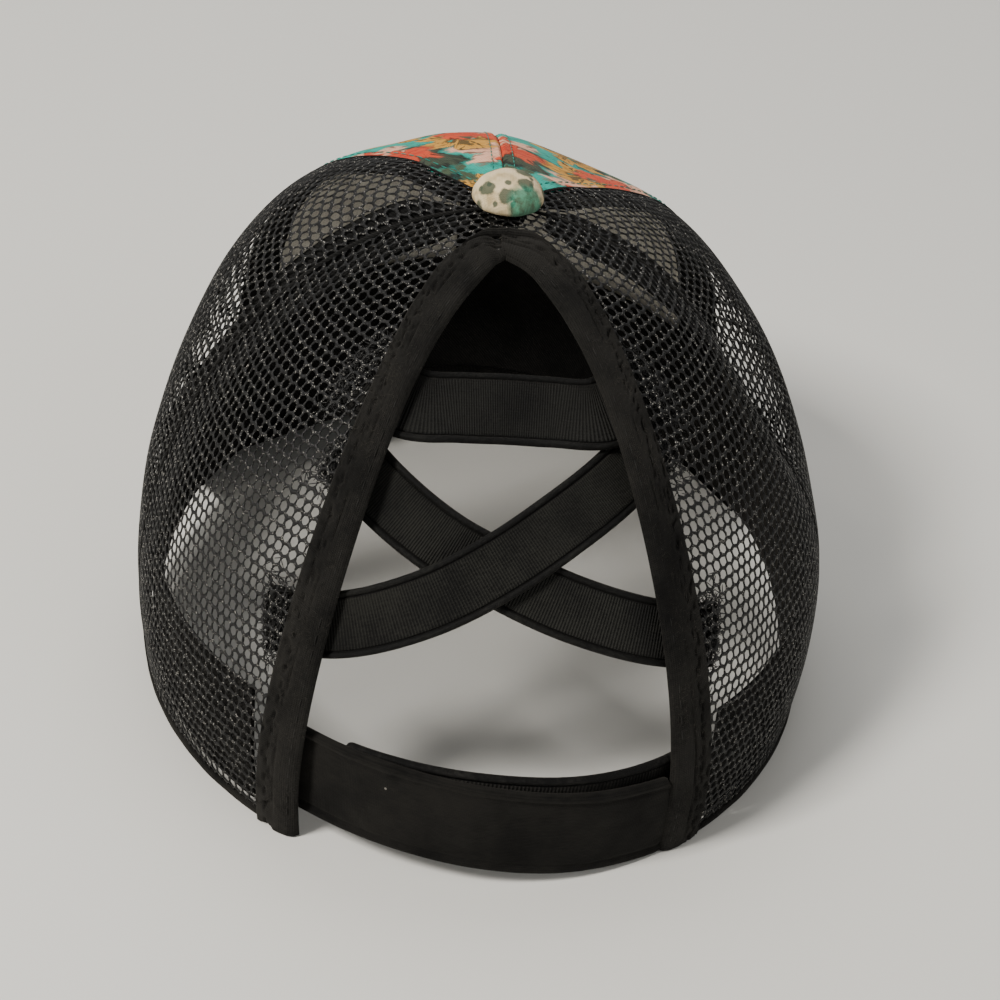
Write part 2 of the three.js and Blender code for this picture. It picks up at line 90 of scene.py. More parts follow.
@dataclass(frozen=True)
class Crown:
    """The crown as one surface of azimuth and climb, with its folds and fullness."""

    half_width: float = 82.0
    rear_depth: float = 99.0
    front_depth: float = 96.0
    height: float = 120.0
    bulge: float = 0.069
    side_fullness: float = 2.32
    rear_fullness: float = 2.13
    front_fullness: float = 5.1
    rear_seam: float = 81.0
    front_seam: float = 135.0
    top_climb: float = 0.985
    peak: Peak = field(default_factory=Peak)
    # where each fold or fullness lies: degrees, its spread, height share, its spread, depth share
    relief: tuple[tuple[float, ...], ...] = (
        (80, 9, 0.62, 0.4, 0.016),
        (-84, 11, 0.66, 0.2, 0.046),
        (112, 34, 0.84, 0.26, -0.036),
        (-116, 34, 0.86, 0.26, 0.004),
        (180, 16, 0.8, 0.4, -0.008),
        (-152, 20, 0.93, 0.1, 0.03),
        (112, 26, 0.9, 0.12, -0.016),
        # a small notch in the soft cloth at one seam, which the CAD part leaves to this file
        (-86, 9, 0.68, 0.12, 0.025),
    )

    def fullness(self, az: Array) -> Array:
        """Profile exponent at an azimuth in radians."""
        c = np.cos(az)
        rear, front = np.maximum(c, 0) ** 2, np.maximum(-c, 0) ** 2
        sides = self.side_fullness * (1 - rear - front)
        return sides + self.rear_fullness * rear + self.front_fullness * front

    def climb_at(self, az: Array, z: Array) -> Array:
        """Climb share at which the outer surface is z above the rim plane."""
        share = np.clip(z / self.height, 0.0, 1.0)
        return np.arcsin(share ** (self.fullness(az) / 2)) / (math.pi / 2)

    def bare(self, az: Array, climb: Array) -> Array:
        """Outer surface without relief, in the crown's own millimetres."""
        angle = climb * math.pi / 2
        h = np.sin(angle) ** (2 / self.fullness(az))
        rho = np.cos(angle) * (1 + self.bulge * 4 * h * (1 - h))
        depth = np.where(np.cos(az) > 0, self.rear_depth, self.front_depth)
        return np.stack([self.half_width * np.sin(az) * rho, depth * np.cos(az) * rho, self.height * h], -1)

    def normal(self, az: Array, climb: Array) -> Array:
        """Outward unit normals of the bare surface."""
        c = np.clip(climb, 0.01, 0.99)
        around = self.bare(az + 0.004, c) - self.bare(az - 0.004, c)
        out = np.cross(self.bare(az, c + 0.003) - self.bare(az, c - 0.003), around)
        return out / np.linalg.norm(out, axis=-1, keepdims=True)

    def at(self, deg: Array, climb: Array, inset: Array | float) -> Array:
        """Points inside the crown's outer surface.

        Args:
            deg: degrees round from the rear.
            climb: share of the climb.
            inset: depth inside the surface.

        Returns:
            Points in the crown's own millimetres.
        """
        deg, climb = np.broadcast_arrays(np.asarray(deg, float), np.asarray(climb, float))
        az = np.radians(deg)
        point = self.bare(az, climb)
        share = point[..., 2] / self.height
        dip = np.zeros_like(share)
        for row, spread, level, span, depth in self.relief:
            away = np.abs((deg - row + 180) % 360 - 180)
            dip += depth * self.height * np.exp(-((away / spread) ** 2) - ((share - level) / span) ** 2)
        dip *= smooth((1 - share) / 0.04)
        return point - self.normal(az, climb) * (np.asarray(inset) + dip)[..., None]

    def radius(self, deg: Array | float, climb: Array) -> Array:
        """Distance of the bare surface from the crown's axis."""
        point = self.bare(np.radians(np.broadcast_to(deg, climb.shape)), climb)
        return np.hypot(point[..., 0], point[..., 1])

    def peak_drop(self, x: Array, forward: Array) -> Array:
        """Height of the peak's top surface below its arch's middle."""
        return -(x * x) / (2 * self.peak.arch_radius) - self.peak.slope * forward

    def peak_plan(self, across: Array, out: Array) -> tuple[Array, Array, Array]:
        """Plan of the peak.

        Args:
            across: place along the sewn edge, -1 to 1.
            out: share of the way from the sewn edge to the rim.

        Returns:
            x, y and the distance forward of the sewn edge.
        """
        deg = 180 - self.peak.joint * across
        az = np.radians(deg)
        level = np.full_like(az, self.height * self.peak.sewn_height)
        sewn = self.at(deg, self.climb_at(az, level), self.peak.sewn_inset)
        edge = np.radians(across * self.peak.wrap)
        ex = self.peak.half_width * np.sin(edge)
        ey = -self.peak.centre_back - self.peak.length * np.cos(edge)
        x, y = sewn[..., 0] * (1 - out) + ex * out, sewn[..., 1] * (1 - out) + ey * out
        return x, y, np.hypot(x - sewn[..., 0], y - sewn[..., 1])

    def peak_centre(self) -> float:
        """Height of the peak's middle, so that its lowest point stands on the table."""
        x, _, forward = self.peak_plan(np.linspace(-1, 1, 81), np.ones(81))
        return self.peak.thickness - min(0.0, float(self.peak_drop(x, forward).min()))

    def rim(self, deg: Array) -> Array:
        """Height of the rim above the table, arched over the peak in front."""
        away = np.abs((np.asarray(deg, float) + 180) % 360 - 180)
        joint = 180 - self.peak.joint
        x = self.half_width * np.sin(np.radians(np.maximum(away, joint)))
        over = self.peak_centre() + self.peak_drop(x, np.zeros_like(x)) + GAP
        return np.where(away >= joint, over, over * smooth((away - 72) / (joint - 72)))

    def rim_climb(self, deg: Array, above: float = 0.0) -> Array:
        """Climb share of the rim, or of a line that far above it."""
        return self.climb_at(np.radians(deg), self.rim(deg) + above)


CROWN = Crown()
_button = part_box("button")
# the CAD part's frame: the crown's middle stands under the button
HOME = np.array([(_button[0].x + _button[1].x) / 2, (_button[0].y + _button[1].y) / 2,
                 _button[0].z - (CROWN.height - WASHER) * MM])


def eased(rows: Sequence[Sequence[float]], column: int, at: Array) -> Array:
    """Value of one column of a table, eased through its rows.

    Args:
        rows: the table, in order of its first column.
        column: the column that is wanted.
        at: places in the first column.

    Returns:
        The eased values at those places.
    """
    table = np.asarray(rows, float)
    if table[0, 0] > table[-1, 0]:
        table = table[::-1]
    key, value = table[:, 0], table[:, column]
    before, after = np.maximum(np.arange(len(key)) - 1, 0), np.minimum(np.arange(len(key)) + 1, len(key) - 1)
    slope = (value[after] - value[before]) / (key[after] - key[before])
    at = np.clip(np.asarray(at, float), key[0], key[-1])
    i = np.clip(np.searchsorted(key, at, side="right") - 1, 0, len(key) - 2)
    span = key[i + 1] - key[i]
    t = (at - key[i]) / span
    return ((2 * t**3 - 3 * t**2 + 1) * value[i] + (t**3 - 2 * t**2 + t) * slope[i] * span
            + (3 * t**2 - 2 * t**3) * value[i + 1] + (t**3 - t**2) * slope[i + 1] * span)


def ripple(a: Array, b: Array, seed: int, size: float) -> Array:
    """Soft seeded unevenness.

    Args:
        a: place along one direction in mm.
        b: place along the other in mm.
        seed: seed of its waves.
        size: about how long a bump is in mm.

    Returns:
        Heights, about -1 to 1.
    """
    turn = np.random.default_rng(seed)
    total = np.zeros(np.broadcast(a, b).shape)
    for _ in range(7):
        angle, phase = turn.uniform(0, math.tau, 2)
        length = size * turn.uniform(0.7, 1.9)
        total = total + np.sin((a * math.cos(angle) + b * math.sin(angle)) * math.tau / length + phase)
    return total / 4.0


# Modelling helpers.
def only_none() -> None:
    """Deselects everything, which new primitives need."""
    bpy.ops.object.select_all(action="DESELECT")


def only(obj: Piece) -> None:
    """Makes one object the selected and active one."""
    only_none()
    obj.select_set(True)
    bpy.context.view_layer.objects.active = obj


def in_edit(obj: Piece, *steps: Callable[[], object]) -> None:
    """Runs operators in edit mode on everything in a mesh."""
    only(obj)
    bpy.ops.object.mode_set(mode="EDIT")
    bpy.ops.mesh.select_all(action="SELECT")
    for step in steps:
        step()
    bpy.ops.object.mode_set(mode="OBJECT")


def apply(obj: Piece, kind: str, **settings: object) -> None:
    """Adds a modifier and applies it."""
    only(obj)
    modifier = obj.modifiers.new(kind.title(), kind)
    for key, value in settings.items():
        setattr(modifier, key, value)
    bpy.ops.object.modifier_apply(modifier=modifier.name)


def coordinates(obj: Piece) -> Array:
    """The vertices of a mesh as an array."""
    flat = np.empty(len(obj.data.vertices) * 3)
    obj.data.vertices.foreach_get("co", flat)
    return flat.reshape(-1, 3)


def set_coordinates(obj: Piece, points: Array) -> None:
    """Moves the vertices of a mesh to points in the crown's millimetres."""
    obj.data.vertices.foreach_set("co", (points * MM + HOME).astype(np.float32).ravel())
    obj.data.update()


def laid_grid(name: str, cells: tuple[int, int], size: tuple[float, float], place: Place) -> Piece:
    """A grid laid out as cloth: each vertex goes where `place` puts its two shares.

    Args:
        name: the piece's name.
        cells: cells across and along.
        size: the cloth's width and length, which its UV map carries in mm.
        place: gives points in the crown's mm for shares across and along.

    Returns:
        The laid sheet, one face thick.
    """
    only_none()
    bpy.ops.mesh.primitive_grid_add(x_subdivisions=cells[0], y_subdivisions=cells[1], size=1.0)
    obj = bpy.context.object
    obj.name = obj.data.name = name
    shares = coordinates(obj)[:, :2] + 0.5
    set_coordinates(obj, place(shares[:, 0], shares[:, 1]))
    layer = obj.data.uv_layers.active
    flat = np.empty(len(layer.data) * 2, np.float32)
    layer.data.foreach_get("uv", flat)
    pairs = flat.reshape(-1, 2) * np.array(size, np.float32)
    layer.data.foreach_set("uv", pairs.ravel())
    layer.name = "cloth"
    return obj


def draw_map(obj: Piece, layer: bpy.types.MeshUVLoopLayer, flat: Array) -> None:
    """Fills a UV map with a flat place for each vertex.

    Args:
        obj: the piece.
        layer: its UV map.
        flat: a place in mm for each of its vertices.
    """
    corners = np.empty(len(obj.data.loops), int)
    obj.data.loops.foreach_get("vertex_index", corners)
    layer.data.foreach_set("uv", flat[corners].astype(np.float32).ravel())


def measured(obj: Piece, cells: tuple[int, int]) -> Piece:
    """Redraws a laid grid's UV map with lengths measured on it, so that a print isn't stretched."""
    rows = coordinates(obj).reshape(cells[1] + 1, cells[0] + 1, 3) / MM
    across = np.linalg.norm(np.diff(rows, axis=1), axis=2).cumsum(axis=1)
    across = np.pad(across, ((0, 0), (1, 0)))
    across -= across[:, -1:] / 2
    up = np.pad(np.linalg.norm(np.diff(rows, axis=0), axis=2).mean(axis=1).cumsum(), (1, 0))
    flat = np.stack([across, np.broadcast_to(up[:, None], across.shape)], -1).reshape(-1, 2)
    draw_map(obj, obj.data.uv_layers.active, flat)
    return obj


def closed(obj: Piece) -> Piece:
    """Merges a folded sheet's meeting edges, fills its open ends and turns its faces outwards."""
    in_edit(
        obj,
        lambda: bpy.ops.mesh.remove_doubles(threshold=2e-6),
        lambda: bpy.ops.mesh.select_all(action="DESELECT"),
        lambda: bpy.ops.mesh.select_non_manifold(),
        lambda: bpy.ops.mesh.edge_face_add(),
        lambda: bpy.ops.mesh.select_all(action="SELECT"),
        lambda: bpy.ops.mesh.normals_make_consistent(inside=False),
    )
    return obj


def thickened(obj: Piece, thickness: float, **settings: object) -> Piece:
    """Turns a sheet's faces away from the crown's middle and gives it its thickness inwards.

    Args:
        obj: the sheet, one face thick.
        thickness: its thickness in mm.
        **settings: more of the modifier's settings.

    Returns:
        The same piece.
    """
    centre = Vector(HOME) + Vector((0, 0, 0.05))
    total = sum((p.center - centre).dot(p.normal) for p in obj.data.polygons)
    if total < 0:
        in_edit(obj, lambda: bpy.ops.mesh.flip_normals())
    apply(obj, "SOLIDIFY", thickness=thickness * MM, offset=-1.0, **settings)
    return obj


def rolled(name: str, cells: tuple[int, int], size: tuple[float, float], place: Place) -> Piece:
    """A grid whose two long sides meet, so that it is a closed tube with filled ends.

    Args:
        name: the piece's name.
        cells: cells round the section and along.
        size: the cloth's size in mm, as for laid_grid.
        place: gives points in the crown's mm.

    Returns:
        The closed tube.
    """
    return closed(laid_grid(name, cells, size, place))


def shade(obj: Piece, angle: float = 50) -> Piece:
    """Smooth shading that keeps edges sharper than `angle`."""
    only(obj)
    bpy.ops.object.shade_smooth_by_angle(angle=math.radians(angle))
    return obj


def dress(obj: Piece, material: bpy.types.Material, nodes: Sequence[str] = ()) -> Piece:
    """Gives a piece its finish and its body.

    Args:
        obj: the piece.
        material: its finish, unless it already has one.
        nodes: the CAD nodes that it stands for.

    Returns:
        The same piece.
    """
    if not obj.data.materials:
        obj.data.materials.append(material)
    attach(obj, "root")
    if nodes:
        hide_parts(*nodes)
    LOG.info("%s: %d faces", obj.name, len(obj.data.polygons))
    return obj


def strewn(name: str, middles: Array, along: Array, up: Array, length: float, thread: float) -> Piece:
    """Copies of one short thread, modelled once.

    Args:
        name: the piece's name.
        middles: where each copy's middle lies, in the crown's mm.
        along: direction of each copy.
        up: a direction across each copy.
        length: the thread's length.
        thread: its diameter.

    Returns:
        One mesh of all copies, with a UV map in mm along each.
    """
    only_none()
    bpy.ops.mesh.primitive_uv_sphere_add(segments=5, ring_count=4, radius=0.5)
    obj = bpy.context.object
    obj.name = obj.data.name = name
    one = coordinates(obj)
    faces = [tuple(p.vertices) for p in obj.data.polygons]
    along = along / np.linalg.norm(along, axis=1, keepdims=True)
    side = np.cross(up, along)
    side /= np.maximum(np.linalg.norm(side, axis=1, keepdims=True), 1e-9)
    up = np.cross(along, side)
    points = (middles[:, None] + one[None, :, 2:3] * length * along[:, None]
              + one[None, :, 0:1] * thread * side[:, None] + one[None, :, 1:2] * thread * up[:, None])
    every = [tuple(v + k * len(one) for v in f) for k in range(len(middles)) for f in faces]
    mesh = bpy.data.meshes.new(name)
    mesh.from_pydata((points.reshape(-1, 3) * MM + HOME).tolist(), [], every)
    old, obj.data = obj.data, mesh
    bpy.data.meshes.remove(old)
    mesh.name = name
    in_edit(obj, lambda: bpy.ops.mesh.normals_make_consistent(inside=False))
    across = np.repeat(np.arange(len(middles)) * 1.7, len(one))
    flat = np.stack([across, np.tile(one[:, 2] * length, len(middles))], -1)
    draw_map(obj, mesh.uv_layers.new(name="cloth"), flat)
    for polygon in mesh.polygons:
        polygon.use_smooth = True
    return obj


def stitched(name: str, path: Array, normals: Array, pitch: float, length: float, thread: float) -> Piece:
    """A row of sewn stitches along a line of points close together.

    Args:
        name: the piece's name.
        path: points in the crown's mm.
        normals: outward directions at those points.
        pitch: distance from stitch to stitch.
        length: length of the thread that shows.
        thread: thread diameter.

    Returns:
        One mesh of all the stitches in the row.
    """
    steps = np.r_[0, np.cumsum(np.linalg.norm(np.diff(path, axis=0), axis=1))]
    middles = np.arange(pitch / 2, steps[-1] - pitch / 3, pitch)

    def at(values: Array, shift: float = 0.0) -> Array:
        """The values at the stitches' middles, or a little further on."""
        return np.stack([np.interp(middles + shift, steps, values[:, k]) for k in range(3)], -1)

    return strewn(name, at(path), at(path, 0.8) - at(path, -0.8), at(normals), length, thread)


def sewn_row(deg: Array, climb: Array, inset: float, pitch: float, length: float) -> Piece:
    """A row of stitches along a line on the crown.

    Args:
        deg: degrees of the line's points.
        climb: their climb shares.
        inset: their depth inside the surface.
        pitch: distance from stitch to stitch.
        length: length of the thread that shows.

    Returns:
        The row.
    """
    normals = CROWN.normal(np.radians(deg), climb)
    return stitched("row", CROWN.at(deg, climb, inset), normals, pitch, length, 0.3)


def joined(name: str, parts: Sequence[Piece]) -> Piece:
    """Several meshes joined into one piece."""
    only_none()
    for part in parts:
        part.select_set(True)
    bpy.context.view_layer.objects.active = parts[0]
    if len(parts) > 1:
        bpy.ops.object.join()
    parts[0].name = parts[0].data.name = name
    return parts[0]


# Finishes.
def linear(text: str) -> tuple[float, float, float, float]:
    """An sRGB hex colour as linear RGBA."""
    parts = [int(text[i:i + 2], 16) / 255 for i in (1, 3, 5)]
    return (*[c / 12.92 if c <= 0.04045 else ((c + 0.055) / 1.055) ** 2.4 for c in parts], 1.0)


def add(tree: Tree, kind: str, sockets: dict[str | int, object] | None = None,
        **settings: object) -> bpy.types.Node:
    """Adds a node.

    Args:
        tree: the material's nodes.
        kind: the node's type without ShaderNode.
        sockets: a value or an output socket for each input.
        **settings: the node's own properties.

    Returns:
        The node.
    """
    made = tree.nodes.new("ShaderNode" + kind)
    for key, value in settings.items():
        setattr(made, key, value)
    for key, value in (sockets or {}).items():
        if isinstance(value, Socket):
            tree.links.new(value, made.inputs[key])
        else:
            made.inputs[key].default_value = value
    return made


def ramp(tree: Tree, factor: Socket, stops: Sequence[tuple[float, str]]) -> Socket:
    """A colour ramp.

    Args:
        tree: the material's nodes.
        factor: what drives it, 0 to 1.
        stops: the place and hex colour of each stop.

    Returns:
        The colour.
    """
    made = add(tree, "ValToRGB", {"Fac": factor})
    while len(made.color_ramp.elements) < len(stops):
        made.color_ramp.elements.new(0.5)
    for element, (place, colour) in zip(made.color_ramp.elements, stops):
        element.position, element.color = place, linear(colour)
    return made.outputs[0]


def calc(tree: Tree, operation: str, *values: object) -> Socket:
    """A Math node's result for values or sockets."""
    return add(tree, "Math", dict(enumerate(values)), operation=operation).outputs[0]


def vector(tree: Tree, operation: str, *values: object) -> Socket:
    """A Vector Math node's result for vectors or sockets."""
    return add(tree, "VectorMath", dict(enumerate(values)), operation=operation).outputs[0]


def noise(tree: Tree, where: Socket, scale: float, detail: float, **more: float) -> Socket:
    """Soft noise, 0 to 1.

    Args:
        tree: the material's nodes.
        where: the place that it is read at.
        scale: how fine it is.
        detail: how many finer layers it has.
        **more: other inputs of the node.

    Returns:
        The noise's value.
    """
    return add(tree, "TexNoise", {"Vector": where, "Scale": scale, "Detail": detail, **more}).outputs["Fac"]


def fade(tree: Tree, value: Socket, start: float, end: float, full: float) -> Socket:
    """Falls from `full` to 0 while a value goes from `start` to `end`."""
    return add(tree, "MapRange", {"Value": value, "From Min": start, "From Max": end, "To Min": full,
                                  "To Max": 0.0}).outputs[0]


def over(tree: Tree, mask: object, below: object, above: object, blend: str = "MIX") -> Socket:
    """One colour laid over another.

    Args:
        tree: the material's nodes.
        mask: share of the upper colour.
        below: the lower colour.
        above: the upper colour.
        blend: how the two are mixed.

    Returns:
        The mixed colour.
    """
    mixed = add(tree, "Mix", {"Factor": mask, 6: below, 7: above}, data_type="RGBA", blend_type=blend)
    return mixed.outputs[2]


class Weave(Enum):
    """How a cloth's threads show."""

    PLAIN = "plain"
    TWILL = "twill"
    RIB = "rib"
    KNIT = "knit"


@dataclass(frozen=True)
class Cloth:
    """A dyed cloth: its colour, weave and wear. Patterns read the cloth's own UV map, in mm."""

    name: str
    colour: str
    # second colour: wear on raised threads, and for the filament finishes a painted highlight on the loop
    # crests
    wear_and_crest_highlight: str
    weave: Weave
    pitch: float
    roughness: float = 0.9
    sheen: float = 0.25
    depth: float = 0.12
    lint: float = 0.0
    creases: float = 0.15
    gloss: float = 0.15
    streak: tuple[float, float] = (1.6, 0.6)

    def ground(self, tree: Tree, cloth: Socket, threads: Socket) -> Socket:
        """Colour of the cloth: dye, wear on the raised threads and a little lint."""
        place = add(tree, "TexCoord").outputs["Object"]
        patches = noise(tree, place, 70.0, 5.0)
        yarn = calc(tree, "MULTIPLY_ADD", threads, 0.5, self.slubs(tree, cloth))
        mixed = calc(tree, "MULTIPLY", patches, yarn)
        colour = ramp(tree, mixed, [(0.26, self.colour), (0.56, self.wear_and_crest_highlight)])
        if not self.lint:
            return colour
        specks = add(tree, "TexVoronoi", {"Vector": place, "Scale": 210.0}, feature="F1").outputs["Distance"]
        few = noise(tree, place, 160.0, 2.0)
        both = calc(tree, "MULTIPLY", calc(tree, "LESS_THAN", specks, 0.1),
                    calc(tree, "GREATER_THAN", few, 1.0 - self.lint))
        return over(tree, both, colour, linear("#6f6c66"))

    def slubs(self, tree: Tree, cloth: Socket) -> Socket:
        """Uneven yarn: soft streaks along the cloth, 0 to 1."""
        drawn = vector(tree, "MULTIPLY", cloth, (*self.streak, 1.0))
        return noise(tree, drawn, 1.0, 4.0, Roughness=0.65)

    def threads(self, tree: Tree, cloth: Socket) -> Socket:
        """Height of the threads, 0 to 1."""
        split = add(tree, "SeparateXYZ", {0: cloth})
        u, v = split.outputs[0], split.outputs[1]
        turn = math.tau / self.pitch

        def wave(value: Socket, rate: float) -> Socket:
            """A sine along one direction, 0 to 1."""
            sine = calc(tree, "SINE", calc(tree, "MULTIPLY", value, rate))
            return calc(tree, "MULTIPLY_ADD", sine, 0.5, 0.5)

        if self.weave is Weave.RIB:
            return calc(tree, "MULTIPLY_ADD", wave(u, turn * 0.9), 0.18, wave(v, turn))
        if self.weave is Weave.TWILL:
            return wave(calc(tree, "ADD", u, v), turn)
        if self.weave is Weave.KNIT:
            loops = add(tree, "TexVoronoi", {"Vector": cloth, "Scale": 1.0 / self.pitch}, feature="F1")
            return calc(tree, "SUBTRACT", 1.0, loops.outputs["Distance"])
        return calc(tree, "MAXIMUM", wave(u, turn), wave(v, turn))

    def material(self) -> bpy.types.Material:
        """The material, with the threads, fibres and creases as bump."""
        made = bpy.data.materials.new(self.name)
        made.use_nodes = True
        tree = made.node_tree
        tree.nodes.clear()
        cloth = add(tree, "UVMap", uv_map="cloth").outputs[0]
        place = add(tree, "TexCoord").outputs["Object"]
        threads = self.threads(tree, cloth)
        fibres = noise(tree, place, 1500.0, 3.0)
        folds = noise(tree, place, 90.0, 3.0, Distortion=0.6)
        grain = calc(tree, "MULTIPLY_ADD", self.slubs(tree, cloth), 1.5, threads)
        small = calc(tree, "MULTIPLY_ADD", fibres, 0.8, grain)
        fine = add(tree, "Bump", {"Height": small, "Strength": 0.9, "Distance": self.depth * MM}).outputs[0]
        bump = add(tree, "Bump", {"Height": folds, "Strength": 0.6, "Distance": self.creases * 8 * MM,
                                  "Normal": fine}).outputs[0]
        shader = add(tree, "BsdfPrincipled", {
            "Base Color": self.ground(tree, cloth, threads), "Roughness": self.roughness, "Normal": bump,
            "Sheen Weight": self.sheen, "Sheen Roughness": 0.45, "Sheen Tint": linear("#8f8a82"),
            "Specular IOR Level": self.gloss, "IOR": 1.5})
        add(tree, "OutputMaterial", {"Surface": shader.outputs[0]})
        return made


@dataclass(frozen=True)
class Filament(Cloth):
    """Knitted filament yarn: near black, with a small painted glint here and there on its loops and a painted
    highlight toward each loop's crest.
    """

    def ground(self, tree: Tree, cloth: Socket, threads: Socket) -> Socket:
        """Dark yarn, painted lighter toward each loop's crest as highlight; a loop that faces the light by
        chance gets a pale painted glint.
        """
        chance = noise(tree, cloth, 0.9, 2.0)
        # painted highlight: pale glints painted into the colour on loops that face the light by chance
        painted_glint = calc(tree, "MULTIPLY", calc(tree, "GREATER_THAN", threads, 0.74),
                   calc(tree, "GREATER_THAN", chance, 0.5))
        # painted highlight: each loop is painted lighter toward its crest
        dark = ramp(tree, threads, [(0.3, self.colour), (0.9, self.wear_and_crest_highlight)])
        return over(tree, calc(tree, "MULTIPLY", painted_glint, 0.7), dark, linear("#a5a29b"))


@dataclass(frozen=True)
class EdgedTape(Cloth):
    """Woven narrow tape: fine ribs between two plain rolled edges, with painted shade in the groove beside
    each edge.
    """

    width: float = 17.0
    border: float = 1.6

    def edge(self, tree: Tree, cloth: Socket) -> Socket:
        """Distance from the nearer long edge in mm."""
        across = calc(tree, "MODULO", add(tree, "SeparateXYZ", {0: cloth}).outputs[0], self.width)
        return calc(tree, "MINIMUM", across, calc(tree, "SUBTRACT", self.width, across))

    def threads(self, tree: Tree, cloth: Socket) -> Socket:
        """Ribs inside the borders only."""
        inside = calc(tree, "GREATER_THAN", self.edge(tree, cloth), self.border + 0.25)
        ribs = calc(tree, "MULTIPLY", inside, 0.95)
        return calc(tree, "MULTIPLY_ADD", super().threads(tree, cloth), ribs, 0.15)

    def ground(self, tree: Tree, cloth: Socket, threads: Socket) -> Socket:
        """The cloth's colour, with painted shade in the groove beside each border."""
        near = calc(tree, "ABSOLUTE", calc(tree, "SUBTRACT", self.edge(tree, cloth), self.border))
        # painted shade: a near-black line in the groove beside each rolled edge
        line = fade(tree, near, 0.16, 0.42, 0.95)
        return over(tree, line, super().ground(tree, cloth, threads), linear("#010101"))


@dataclass(frozen=True)
class ScatterPrint(Cloth):
    """Printed cotton: small painted blossoms and leaves scattered over turquoise, a generic design."""

    def blossom(self, tree: Tree, below: Socket, flat: Socket,
                size: float, spacing: float, petals: int, chance: float, offset: float, heart: float,
                stops: Sequence[tuple[float, str]]) -> Socket:
        """Blossoms of one kind over what lies below.

        Args:
            tree: the material's nodes.
            below: colour so far.
            flat: place on the cloth in mm.
            size: radius of a blossom in mm.
            spacing: distance between blossoms in mm.
            petals: how many petals each has.
            chance: share of the places that hold one.
            offset: moves this kind away from the others.
            heart: share of the radius left open in the middle.
            stops: colours from the middle to the edge.

        Returns:
            The colour with these blossoms.
        """
        moved = vector(tree, "ADD", flat, (offset, offset * 1.7, 0.0))
        cells = add(tree, "TexVoronoi", {"Vector": moved, "Scale": 1.0 / spacing, "Randomness": 0.75},
                    feature="F1", voronoi_dimensions="2D")
        scaled = add(tree, "VectorMath", {0: moved, "Scale": 1.0 / spacing}, operation="SCALE").outputs[0]
        # the cell's own middle comes back in the cloth's millimetres
        local = vector(tree, "SUBTRACT", moved, cells.outputs["Position"])
        parts = add(tree, "SeparateXYZ", {0: local})
        pick = add(tree, "SeparateColor", {0: cells.outputs["Color"]})
        angle = calc(tree, "ARCTAN2", parts.outputs[1], parts.outputs[0])
        turned = calc(tree, "MULTIPLY_ADD", pick.outputs[1], 6.0, angle)
        lobe = calc(tree, "ABSOLUTE", calc(tree, "COSINE", calc(tree, "MULTIPLY", turned, petals / 2)))
        reach = calc(tree, "MULTIPLY_ADD", lobe, 0.42, 0.58)
        varied = calc(tree, "MULTIPLY", reach, calc(tree, "MULTIPLY_ADD", pick.outputs[2], 0.5, 0.7))
        length = add(tree, "VectorMath", {0: local}, operation="LENGTH").outputs["Value"]
        share = calc(tree, "DIVIDE", length, calc(tree, "MULTIPLY", varied, size))
        brushed = noise(tree, scaled, 11.0, 5.0)
        ragged = calc(tree, "MULTIPLY_ADD", calc(tree, "SUBTRACT", brushed, 0.5), 0.5, share)
        inside = fade(tree, ragged, 0.9, 1.06, 1.0)
        if heart:
            inside = calc(tree, "MULTIPLY", inside, calc(tree, "GREATER_THAN", share, heart))
        mask = calc(tree, "MULTIPLY", inside, calc(tree, "LESS_THAN", pick.outputs[0], chance))
        fan = add(tree, "CombineXYZ", {0: calc(tree, "MULTIPLY", angle, 4.0),
                                       1: calc(tree, "MULTIPLY", share, 0.9)})
        pencil = noise(tree, fan.outputs[0], 1.5, 3.0)
        streak = calc(tree, "MULTIPLY_ADD", calc(tree, "SUBTRACT", pencil, 0.5), 1.7, ragged)
        return over(tree, mask, below, ramp(tree, streak, stops))

    def ground(self, tree: Tree, cloth: Socket, threads: Socket) -> Socket:
        """Colours of the print, dulled where threads part."""
        warp = add(tree, "TexNoise", {"Vector": cloth, "Scale": 0.12, "Detail": 4.0}).outputs["Color"]
        shift = add(tree, "VectorMath", {0: warp, "Scale": 9.0}, operation="SCALE").outputs[0]
        flat = vector(tree, "ADD", cloth, shift)
        colour = ramp(tree, noise(tree, flat, 0.09, 6.0, Roughness=0.66),
                      [(0.38, "#1a2421"), (0.45, "#1a5f56"), (0.52, "#1b9787"), (0.66, "#27ab9b")])
        # a row per kind: radius, spacing, petals, chance, offset, open heart, then colours outwards
        for row in ((13.0, 27.0, 2, 0.8, 3.0, 0.0, ((0.2, "#232b25"), (0.6, "#414c3c"), (0.95, "#1d2420"))),
                    (15.5, 29.0, 6, 0.75, 14.0, 0.0, ((0.1, "#4a2f29"), (0.26, "#a9705c"), (0.5, "#d9a488"),
                                                     (0.8, "#e3b297"), (1.0, "#7c5a4b"))),
                    (12.0, 27.0, 5, 0.7, 27.0, 0.42, ((0.5, "#5e4a26"), (0.62, "#bd8735"), (0.9, "#cf9a45"),
                                                     (1.0, "#54401f"))),
                    (10.5, 25.0, 5, 0.62, 41.0, 0.0, ((0.12, "#511c14"), (0.35, "#b9301f"), (0.8, "#d2502f"),
                                                     (1.0, "#6a2317"))),
                    (6.0, 17.0, 3, 0.6, 55.0, 0.0, ((0.2, "#28332a"), (0.8, "#46533f"))),
                    (3.4, 12.0, 5, 0.5, 71.0, 0.0, ((0.3, "#c79d7c"), (0.9, "#e0c4a2")))):
            colour = self.blossom(tree, colour, flat, *row)
        shaded = calc(tree, "MULTIPLY_ADD", threads, 0.2, 0.8)
        return over(tree, 1.0, colour, shaded, "MULTIPLY")


